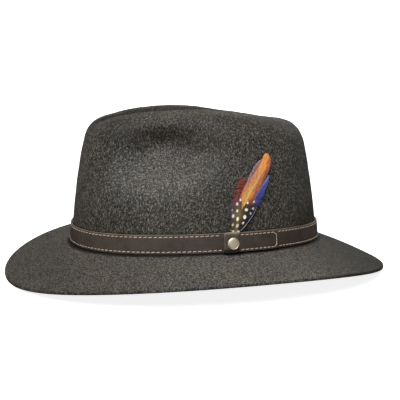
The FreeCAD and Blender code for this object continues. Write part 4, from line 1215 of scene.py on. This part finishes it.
def add_fan(parts, shaft, outlines, layer, out, dye, count, seed, arch, lift, shaft_rgb):
    """Barbs sweeping up from a short shaft to a front and a back outline."""
    chance = np.random.default_rng(seed)
    steps = 44
    part = np.linspace(0, 1, steps)
    thick = np.maximum(0.16 * (1 - 0.6 * part), 0.04)
    up = (np.arange(count) + 0.5) / count
    for side, outline in zip((-1, 1), outlines):
        tips = along_line(outline, up) + chance.normal(0, 0.16, (count, 2))
        root_parts = np.clip(0.02 + 0.98 * up ** 0.8, 0, 1)
        roots = along_line(shaft, root_parts)
        leave = unit(along_line(shaft, root_parts + 0.01) - roots)
        length = np.linalg.norm(tips - roots, axis=1, keepdims=True)
        paths = bezier(roots, roots + leave * length * 0.45, tips, steps).swapaxes(0, 1)
        gaps = np.linalg.norm(np.gradient(paths, axis=0), axis=-1)
        for i in range(count):
            y, z = paths[i].T
            height = (lift_off(z, out, layer) + arch * (1 - part ** 2)
                      + lift * part ** 3 * chance.uniform(0.0, 1.0)
                      + 0.05 * chance.standard_normal())
            widths = np.clip(gaps[i] * 1.35, 0.12, 0.62) * (1 - 0.6 * part ** 6)
            colours = dye(up[i], side * part, y, z) * (1 + 0.10 * chance.standard_normal())
            add_strand(parts, y, z, height, widths, thick, np.clip(colours, 0.0005, 1.0))
    up = np.linspace(0, 1.0, 30)
    y, z = along_line(shaft, up).T
    width = 0.62 * (1 - 0.7 * up)
    add_shaft(parts, y, z, lift_off(z, out, layer) + arch + 0.10, width,
              0.5 * width + 0.05, shaft_rgb)


# ------------------------------------------------------------------ the feathers
# Stations from quill to tip: y, z, half width towards the front, and towards the back
MAUVE = [(-0.6, 14.0, .3, .3), (1.2, 22, .5, .5), (3.6, 31, 1.2, 1.2), (6.4, 40, 2.2, 2.2),
         (11.0, 50.2, 3.3, 3.2), (15.6, 57.6, 3.7, 3.6), (19.6, 63.6, 3.4, 3.4),
         (22.4, 67.8, 2.4, 2.4), (24.2, 70.8, .4, .4)]
BLUE = [(-0.8, 14.0, .3, .3), (-0.2, 17.6, .3, .3), (3.2, 22.5, .4, .5), (8.2, 31, .6, 3.6),
        (13.4, 40.0, .8, 6.2), (17.2, 44.9, .9, 6.2), (22.0, 50.3, .9, 4.6),
        (27.0, 55.4, .7, 2.2), (29.4, 58.4, .2, .2)]
INDIGO = [(-0.9, 14.0, .3, .3), (-0.1, 17.4, .3, .3), (2.2, 19.3, .3, .3),
          (5.2, 21.7, .4, .3), (7.9, 24.5, 1.6, .3), (10.6, 27.5, 3.4, .3),
          (13.3, 30.9, 3.6, .3), (15.0, 33.8, 2.2, .3), (15.8, 36.2, .2, .2)]
GOLD = [(-1.6, 14.0, .3, .3), (-1.2, 18.5, .3, .3), (-0.2, 24, .6, .6), (1.2, 28.5, .9, 1.2),
        (3.0, 33, 2.2, 4.4), (6.3, 40.8, 5.0, 6.4), (11.9, 49.0, 5.8, 5.6),
        (17.9, 56.3, 4.9, 5.3), (23.0, 62.8, 4.1, 5.3), (26.0, 68.4, 3.5, 4.9),
        (27.2, 72.2, 3.1, 3.6), (27.7, 75.0, 1.0, 1.2)]
RUST = [(-1.8, 14.0, .3, .3), (-1.4, 22, .5, .5), (0.2, 34, 1, 1), (3.2, 45, 1, 1),
        (6.4, 52, 1, 1), (9.6, 58.5, 1, 1)]
TEAL = [(-2.2, 14.0, .3, .3), (-3.8, 22, 1.6, .8), (-4.8, 29, 3.0, 1.6), (-4.2, 35, 3.0, 2.0),
        (-1.4, 41.0, 2.6, 1.6), (1.4, 46, .4, .4)]
TEAL_WISPS = [(-2.2, 14.0, .3, .3), (-3.6, 24, 1, 1), (-4.0, 34, 1, 1), (-1.0, 44, 1, 1)]
# Guinea feather, y and z: its shaft, and its outlines with a notch between them at the tip
GUINEA_SHAFT = [(-2.4, 14.0), (-2.3, 19), (-1.6, 24.0), (-0.4, 28.0), (0.5, 30.6)]
GUINEA_FRONT = [(-4.6, 16.2), (-6.9, 19.8), (-7.5, 24.0), (-7.0, 29.5), (-5.8, 34.6),
                (-3.2, 39.4), (0.2, 44.0), (1.6, 42.6), (1.5, 39.0), (0.7, 34.4)]
GUINEA_BACK = [(-0.4, 16.4), (2.6, 20.2), (5.6, 25.0), (9.0, 30.0), (12.6, 34.9),
               (15.0, 40.6), (12.4, 41.8), (8.2, 41.0), (4.8, 37.6), (1.8, 33.6)]


def build_feather(name, node, slot, shapes, material=DYED_FEATHER):
    """shapes: (function that adds to the parts, its settings)."""
    parts = Parts()
    for add_shape, settings in shapes:
        add_shape(parts, **settings)
    parts.make(name, material, node, slot, "feather_trim")


build_feather("feather_mauve", "mauve_feather", "feather_mauve", [(add_vane, dict(
    stations=MAUVE, layer=0, out=0.8, dye=mauve_dye, count=120, sweep=1.5, width=1.15,
    arch=0.35, seed=11, jitter=0.16, split=0.06, shaft_rgb=(170, 140, 140)))])
build_feather("feather_blue", "blue_feather", "feather_blue", [(add_vane, dict(
    stations=BLUE, layer=1, out=1.6, dye=blue_dye, count=130, sweep=1.7, width=1.2,
    arch=0.4, seed=12, jitter=0.12, split=0.05, shaft_rgb=(196, 184, 208), start=0.2))])
build_feather("feather_indigo", "indigo_feather", "feather_indigo", [(add_vane, dict(
    stations=INDIGO, layer=2, out=2.4, dye=indigo_dye, count=80, sweep=1.2, width=1.2,
    arch=0.3, seed=13, jitter=0.12, split=0.05, shaft_rgb=(206, 196, 204), start=0.42))])
build_feather("feather_golden", "golden_feather", "feather_gold", [(add_vane, dict(
    stations=GOLD, layer=3, out=3.2, dye=gold_dye, count=190, sweep=1.5, width=1.15,
    arch=0.6, seed=14, jitter=0.10, split=0.045, shaft_rgb=(222, 190, 104), start=0.2))])
build_feather("feather_rust_hackle", "rust_hackle", "feather_rust", [(add_wisps, dict(
    stations=RUST, layer=2.6, out=2.9, dye=rust_dye, count=30, seed=15, length=9.5,
    taper=10.0, low=0.60, high=0.99, curl=0.7, width=0.27, rise=0.5,
    shaft_rgb=(90, 40, 30)))])
build_feather("feather_teal_herl", "teal_herl", "feather_teal", [
    (add_vane, dict(
        stations=TEAL, layer=4, out=3.4, dye=teal_dye, count=80, sweep=1.2, width=1.0,
        arch=0.3, seed=16, jitter=0.2, split=0.12, shaft_rgb=(40, 30, 56), start=0.15,
        ragged=(0.75, 1.2))),
    (add_wisps, dict(
        stations=TEAL_WISPS, layer=4, out=3.2, dye=teal_wisp_dye, count=16, seed=21,
        length=5.4, taper=0.0, low=0.55, high=0.98, curl=0.5, width=0.26, rise=0.9,
        shaft_rgb=(30, 40, 46)))])
build_feather("feather_guinea", "guinea_feather", "feather_guinea", [(add_fan, dict(
    shaft=GUINEA_SHAFT, outlines=(GUINEA_FRONT, GUINEA_BACK), layer=6, out=5.0,
    dye=guinea_dye, count=110, seed=17, arch=0.5, lift=0.6, shaft_rgb=(120, 104, 60)))],
    GUINEA_FEATHER)


def build_binding():
    """Turns of thread round a flat core of quills, behind the keeper."""
    backward, out = 2.55, 2.55          # centre of the core, from the stud's foot
    thread, sides, steps = 0.21, 6, 40
    parts = Parts()
    loop = rounded_outline(5.0, 0.95, 0.47, steps)
    faces = [(k * sides + q, k_next * sides + q, k_next * sides + q_next,
              k * sides + q_next)
             for k in range(steps) for k_next in [(k + 1) % steps]
             for q in range(sides) for q_next in [(q + 1) % sides]]
    for i in range(15):
        height = 3.3 + i * 0.44
        points = []
        for across, depth in loop:
            size = math.hypot(across, depth) + 1e-6
            for q in range(sides):
                angle = 2 * math.pi * q / sides
                widen = thread * math.cos(angle) / size
                points.append(by_stud(backward + across + across * widen,
                                      height + thread * math.sin(angle) + 0.05 * across,
                                      out + depth + depth * widen))
        parts.add(points, faces)
    core = rounded_outline(4.7, 0.75, 0.37, steps)
    points = [by_stud(backward + across * size, height, out + depth * size)
              for height, size in ((2.8, 0.8), (3.0, 1.0), (9.7, 1.0), (9.9, 0.8))
              for across, depth in core]
    parts.add(points, tube_faces(4, steps))
    parts.make("quill_thread_binding", DARK_THREAD, "quill_binding", "thread_dark",
               "feather_trim")


build_binding()

# ------------------------------------------------------------------ sweatband and ribbons
SEAM_GAP = math.radians(0.25)       # half the sweatband's opening at the back
SWEAT_ENDS = (math.pi + SEAM_GAP, 3 * math.pi - SEAM_GAP)
REED_ENDS = (math.pi + 2 * SEAM_GAP, 3 * math.pi - 2 * SEAM_GAP)
SWEAT_MIDDLE = -3.65                # out of the sweatband's mid thickness and of the reed
SWEAT_LOW, SWEAT_HIGH = -0.7, 32.6


def sweat_section(turn):
    heights = np.linspace(SWEAT_LOW, SWEAT_HIGH, 30)
    radius = 0.42

    def rounded_edge(height, degrees):
        return [band_point(turn, height + radius * math.sin(angle),
                           SWEAT_MIDDLE + radius * math.cos(angle))
                for angle in np.radians(degrees)]

    rows = [band_point(turn, z, -3.2) for z in heights]       # face towards the felt
    rows += rounded_edge(SWEAT_HIGH, [60, 90, 120])
    for z in heights[::-1]:                                   # face towards the head
        ripple = 0.04 * np.sin(turn * 9 + z * 0.15)
        rows.append(band_point(turn, z, -4.1 - ripple + 0.18 * bell(z, 2.3, 0.6)))
    rows += rounded_edge(SWEAT_LOW, [240, 270, 300])
    return np.array(rows)


def reed_section(turn):
    radius, sides = 0.78, 12
    rows = []
    for i in range(sides):
        angle = 2 * math.pi * i / sides
        row = band_point(turn, -2.0, SWEAT_MIDDLE + radius * math.cos(angle))
        row[:, 2] += radius * math.sin(angle)
        rows.append(row)
    return np.array(rows)


# Ribbon sections: height above the foot of the crown, out
TAPE_PROFILE = [(-0.9, -2.72), (-0.9, -2.95), (3.5, -2.93), (7.9, -2.95), (7.9, -2.72),
                (3.5, -2.70)]
BACKING_PROFILE = [(2.1, 0.1), (2.1, 0.38), (8.0, 0.40), (13.8, 0.38), (13.8, 0.1),
                   (8.0, 0.12)]
SEAM_PROFILE = [(0.5, -4.15), (0.5, -4.5),
                *((z, -4.5 - 0.05 * math.sin(z * 2.4)) for z in np.linspace(1, 31.5, 40)),
                (32, -4.5), (32, -4.15)]
TAG_PROFILE = [(17.2, -3.0), (17.2, -3.1), *((z, -3.11) for z in np.linspace(18, 36.6, 16)),
               (37.2, -3.08), (37.2, -3.0)]

ring_piece("leather_sweatband", sweat_section, SWEAT_LEATHER, "sweatband", "sweat_leather",
           SWEAT_ENDS, 300)
ring_piece("sweatband_reed_cord", reed_section, REED_PLASTIC, "sweatband_reed",
           "reed_plastic", REED_ENDS, 300)
ring_piece("reed_tape_woven", strap_section(TAPE_PROFILE), WOVEN_TAPE, "reed_tape",
           "ribbon", SWEAT_ENDS, 240)
ring_piece("band_backing_ribbon", strap_section(BACKING_PROFILE), RIBBON, "band_backing",
           "ribbon", count=240)
stitch_piece("stitches_sweatband",
             row_spots(1.7, -4.08, math.pi + 0.09, 3 * math.pi - 0.09, pitch=4.2, facing=-1),
             "sweatband_stitch", SWEAT_THREAD, length=2.8, radius=0.26, tilt=0.35)
ring_piece("sweatband_seam_ribbon", strap_section(SEAM_PROFILE), WOVEN_TAPE,
           "sweatband_seam_tape", "ribbon", (math.pi - 0.05, math.pi + 0.05), 16)


# ------------------------------------------------------------------ lining and tag
def side_pleats(turn, part):
    return (0.10 + 0.14 * (1 - part) * (1 + np.sin(turn * 46 + 0.8 * np.sin(turn * 5)))
            + 0.12 * np.sin(turn * 13 + 1.0) ** 2 * (1 - part))


def tip_pleats(turn, part):
    """The lower edge comes out to the felt, over the top of the side lining."""
    return (-2.75 * ease(part, 0.80, 1.0)
            + 0.22 * part ** 3 * (1 + np.sin(turn * 60 + 0.6 * np.sin(turn * 7)))
            + 0.10 * np.sin(turn * 8 + 2.0) ** 2 * part)


def lining(name, first, stop, depth, pleats, capped, material, node):
    """Satin sheet inside the crown, following every other row from first to stop."""
    thick = 0.28
    rows, normals = CROWN[first:stop][::2], CROWN_NORMALS[first:stop][::2]
    count = len(rows)
    part = np.linspace(0, 1, count)[:, None]
    depths = (depth + pleats(TURNS[None, :], part))[..., None]
    outer = rows - normals * depths
    inner = rows - normals * (depths + thick)
    points = np.concatenate([outer.reshape(-1, 3), inner.reshape(-1, 3)])
    base = count * TURN_STEPS                 # first point of the inner sheet
    last = base - TURN_STEPS
    faces = [*grid_faces(count, TURN_STEPS), *grid_faces(count, TURN_STEPS, base)[:, ::-1]]
    pairs = [(j, (j + 1) % TURN_STEPS) for j in range(TURN_STEPS)]
    for j, k in pairs:
        faces.append((last + j, last + k, base + last + k, base + last + j))
        if not capped:
            faces.append((k, j, base + j, base + k))
    if capped:
        centre = len(points)
        points = np.concatenate([points, [outer[0].mean(0), inner[0].mean(0)]])
        for j, k in pairs:
            faces += [(centre, k, j), (centre + 1, base + j, base + k)]
    add_piece(name, points, faces, material, node, "satin")


SPLIT_ROW = int(np.argmin(np.abs(CROWN[:, 0, 2] - 84)))     # about 84 mm up at the front
lining("lining_side_satin", SPLIT_ROW + 1, len(CROWN) - 5, FELT + 0.25, side_pleats, False,
       SIDE_SATIN, "lining_side")
lining("lining_tip_satin", 0, SPLIT_ROW + 9, FELT + 4.1, tip_pleats, True,
       TIP_SATIN, "lining_tip")

TAG_TURN, TAG_HALF = math.radians(153), 0.088
ring_piece("blank_size_tag", strap_section(TAG_PROFILE), TAG_PAPER, "size_tag", "tag_paper",
           (TAG_TURN - TAG_HALF, TAG_TURN + TAG_HALF), 24)

# ------------------------------------------------------------------ bow inside the back
BOW_RADIUS = 98.0             # turns a distance along the bow into an angle


def ribbon_strip(stations, thick):
    """Points and faces of a flat ribbon from stations of (along the sweatband,
    inward, height, half width)."""
    columns = 7
    stations = np.array(stations, float)
    along = unit(np.gradient(stations[:, :2], axis=0))
    normals = np.stack([-along[:, 1], along[:, 0]], -1)
    points = []
    for i, (_, _, height, half) in enumerate(stations):
        for side in (-0.5, 0.5):
            across, inward = stations[i, :2] + normals[i] * thick * side
            for edge in np.linspace(-1, 1, columns):
                ripple = 0.08 * math.cos(edge * 9 + i * 0.3) * 0.3
                points.append(wall(math.pi + across / BOW_RADIUS, height + edge * half,
                                   -(inward + ripple)))
    ring = 2 * columns
    faces = []
    for i in range(len(stations) - 1):
        here, there = i * ring, (i + 1) * ring
        for j in range(columns - 1):
            back = columns + j
            faces += [(here + j, here + j + 1, there + j + 1, there + j),
                      (here + back + 1, here + back, there + back, there + back + 1)]
        faces += [(here, there, there + columns, here + columns),
                  (here + columns - 1, here + ring - 1, there + ring - 1,
                   there + columns - 1)]
    outline = [*range(columns), *range(ring - 1, columns - 1, -1)]
    last = (len(stations) - 1) * ring
    faces += [tuple(outline)[::-1], tuple(last + i for i in outline)]
    return points, faces


def bow_loop(side):
    """Stations out along the sweatband, round, and back."""
    stations = []
    for part in np.linspace(0, 1, 26):
        sine, cosine = math.sin(part * math.pi), math.cos(part * math.pi)
        stations.append((side * (2.6 + 11.6 * sine ** 0.9),
                         5.35 - 0.62 * cosine * (sine ** 0.5 + 0.25),
                         7.2 + 0.7 * sine, 1.5 + 2.1 * sine ** 0.8))
    return stations


def bow_tail(side):
    return [(side * (1.6 + 6.2 * part), 4.75 + 0.15 * part, 5.2 - 3.0 * part,
             1.3 + 0.3 * part) for part in np.linspace(0, 1, 10)]


def build_bow():
    parts = Parts()
    for side in (-1, 1):
        parts.add(*ribbon_strip(bow_loop(side), 0.28))
        parts.add(*ribbon_strip(bow_tail(side), 0.26))
    parts.make("bow_ribbon_loops", RIBBON, "bow_loops", "bow_ribbon")

    knot_width = 4.4
    plate("bow_ribbon_knot", (knot_width, 6.6), 1.3, 1.5, 0.5, 10,
          lambda across, up, inward: wall(math.pi + across / BOW_RADIUS, 7.0 + up,
                                          -(5.1 + inward)),
          lambda across, up: (-0.30 * (across / (knot_width / 2)) ** 2
                              + 0.06 * math.cos(up * 4.2)),
          RIBBON, "bow_knot", "bow_ribbon")


build_bow()

# ------------------------------------------------------------------ stage, lights, camera
# From here on lengths are in metres.


def build_floor():
    """Floor that curves up into a backdrop on the far side, towards -X."""
    paint_material = mottled_material(
        "floor_paint", dark=0.90, light=0.93, mottle={"scale": 3, "detail": 3},
        relief_scale=150, relief=0.0002, strength=0.1, rough=0.8,
        Emission_Color=(1, 1, 1, 1), Emission_Strength=0.86)
    near, bend, radius, top, half_width = 2.5, -1.6, 0.8, 3.4, 4.0
    profile = [(near, 0.0), (bend, 0.0)]
    for angle in np.radians(np.linspace(0, 90, 24)):
        profile.append((bend - radius * math.sin(angle), radius - radius * math.cos(angle)))
    profile.append((bend - radius, top))
    points = [(x, y, z) for x, z in profile for y in (-half_width, half_width)]
    faces = [(2 * i, 2 * i + 1, 2 * i + 3, 2 * i + 2) for i in range(len(profile) - 1)]
    mesh = bpy.data.meshes.new("studio_floor")
    mesh.from_pydata(points, [], faces)
    mesh.polygons.foreach_set("use_smooth", [True] * len(faces))
    floor = bpy.data.objects.new("studio_floor", mesh)
    floor.rotation_euler = (0, 0, math.radians(-21.35))
    floor.location = (0, 0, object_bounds()[0][2] - 0.0002)
    bpy.context.scene.collection.objects.link(floor)
    mesh.materials.append(paint_material)
    floor.visible_diffuse = False       # its glow does not light the hat
    floor.visible_glossy = False


def area_light(name, location, target, size, power):
    light = bpy.data.lights.new(name, "AREA")
    light.shape = "RECTANGLE"
    light.size, light.size_y = size
    light.energy = power
    lamp = bpy.data.objects.new(name, light)
    bpy.context.scene.collection.objects.link(lamp)
    lamp.location = location
    aim = Vector(target) - Vector(location)
    lamp.rotation_euler = aim.to_track_quat("-Z", "Y").to_euler()


def build_lights():
    hat = np.array([0, 0, 0.03])
    distance = 1.6
    key_direction = np.array([0.383, -0.321, 0.866])
    front_direction = np.array([0.714, -0.333, 0.616])
    area_light("key", tuple(key_direction * distance + hat), hat, size=(0.7, 0.7),
               power=24.5)
    area_light("front", tuple(front_direction * distance + hat), hat, size=(0.7, 0.7),
               power=18)
    area_light("back", (-1.5, 0.6, 0.9), (-2.2, 0.9, 0.3), size=(2.4, 1.2), power=20)
    area_light("rear_fill", (-1.3, 1.2, 0.9), hat, size=(1.2, 0.8), power=3.5)


def build_world():
    """Plain white to the camera, a faint white light to everything else."""
    world = bpy.data.worlds.new("studio")
    bpy.context.scene.world = world
    world.use_nodes = True
    nodes, links = world.node_tree.nodes, world.node_tree.links
    ambient = nodes["Background"]
    backdrop = nodes.new("ShaderNodeBackground")
    for background, strength in ((ambient, 0.10), (backdrop, 1.0)):
        background.inputs["Color"].default_value = (1, 1, 1, 1)
        background.inputs["Strength"].default_value = strength
    ray = nodes.new("ShaderNodeLightPath")
    choose = nodes.new("ShaderNodeMixShader")
    links.new(ray.outputs["Is Camera Ray"], choose.inputs[0])
    links.new(ambient.outputs[0], choose.inputs[1])
    links.new(backdrop.outputs[0], choose.inputs[2])
    links.new(choose.outputs[0], nodes["World Output"].inputs["Surface"])


def build_camera():
    """Looks at the hat from its left and a little to the front."""
    camera = bpy.data.cameras.new("camera")
    camera.sensor_width = 36.0
    camera.lens = 74.7711
    camera.clip_start = 0.01
    holder = bpy.data.objects.new("camera", camera)
    bpy.context.scene.collection.objects.link(holder)
    view = Vector((-0.91737, 0.36334, -0.16255)).normalized()
    right = Vector((0.36634, 0.93040, 0.01222)).normalized()
    up = right.cross(view).normalized()
    rotation = Matrix((right, up, -view)).transposed()
    position = Vector((0.65034, -0.25420, 0.14375))
    holder.matrix_world = Matrix.Translation(position) @ rotation.to_4x4()
    bpy.context.scene.camera = holder


build_floor()
build_world()
build_lights()
build_camera()
bpy.context.scene.view_settings.view_transform = "Standard"
bpy.context.scene.view_settings.look = "None"
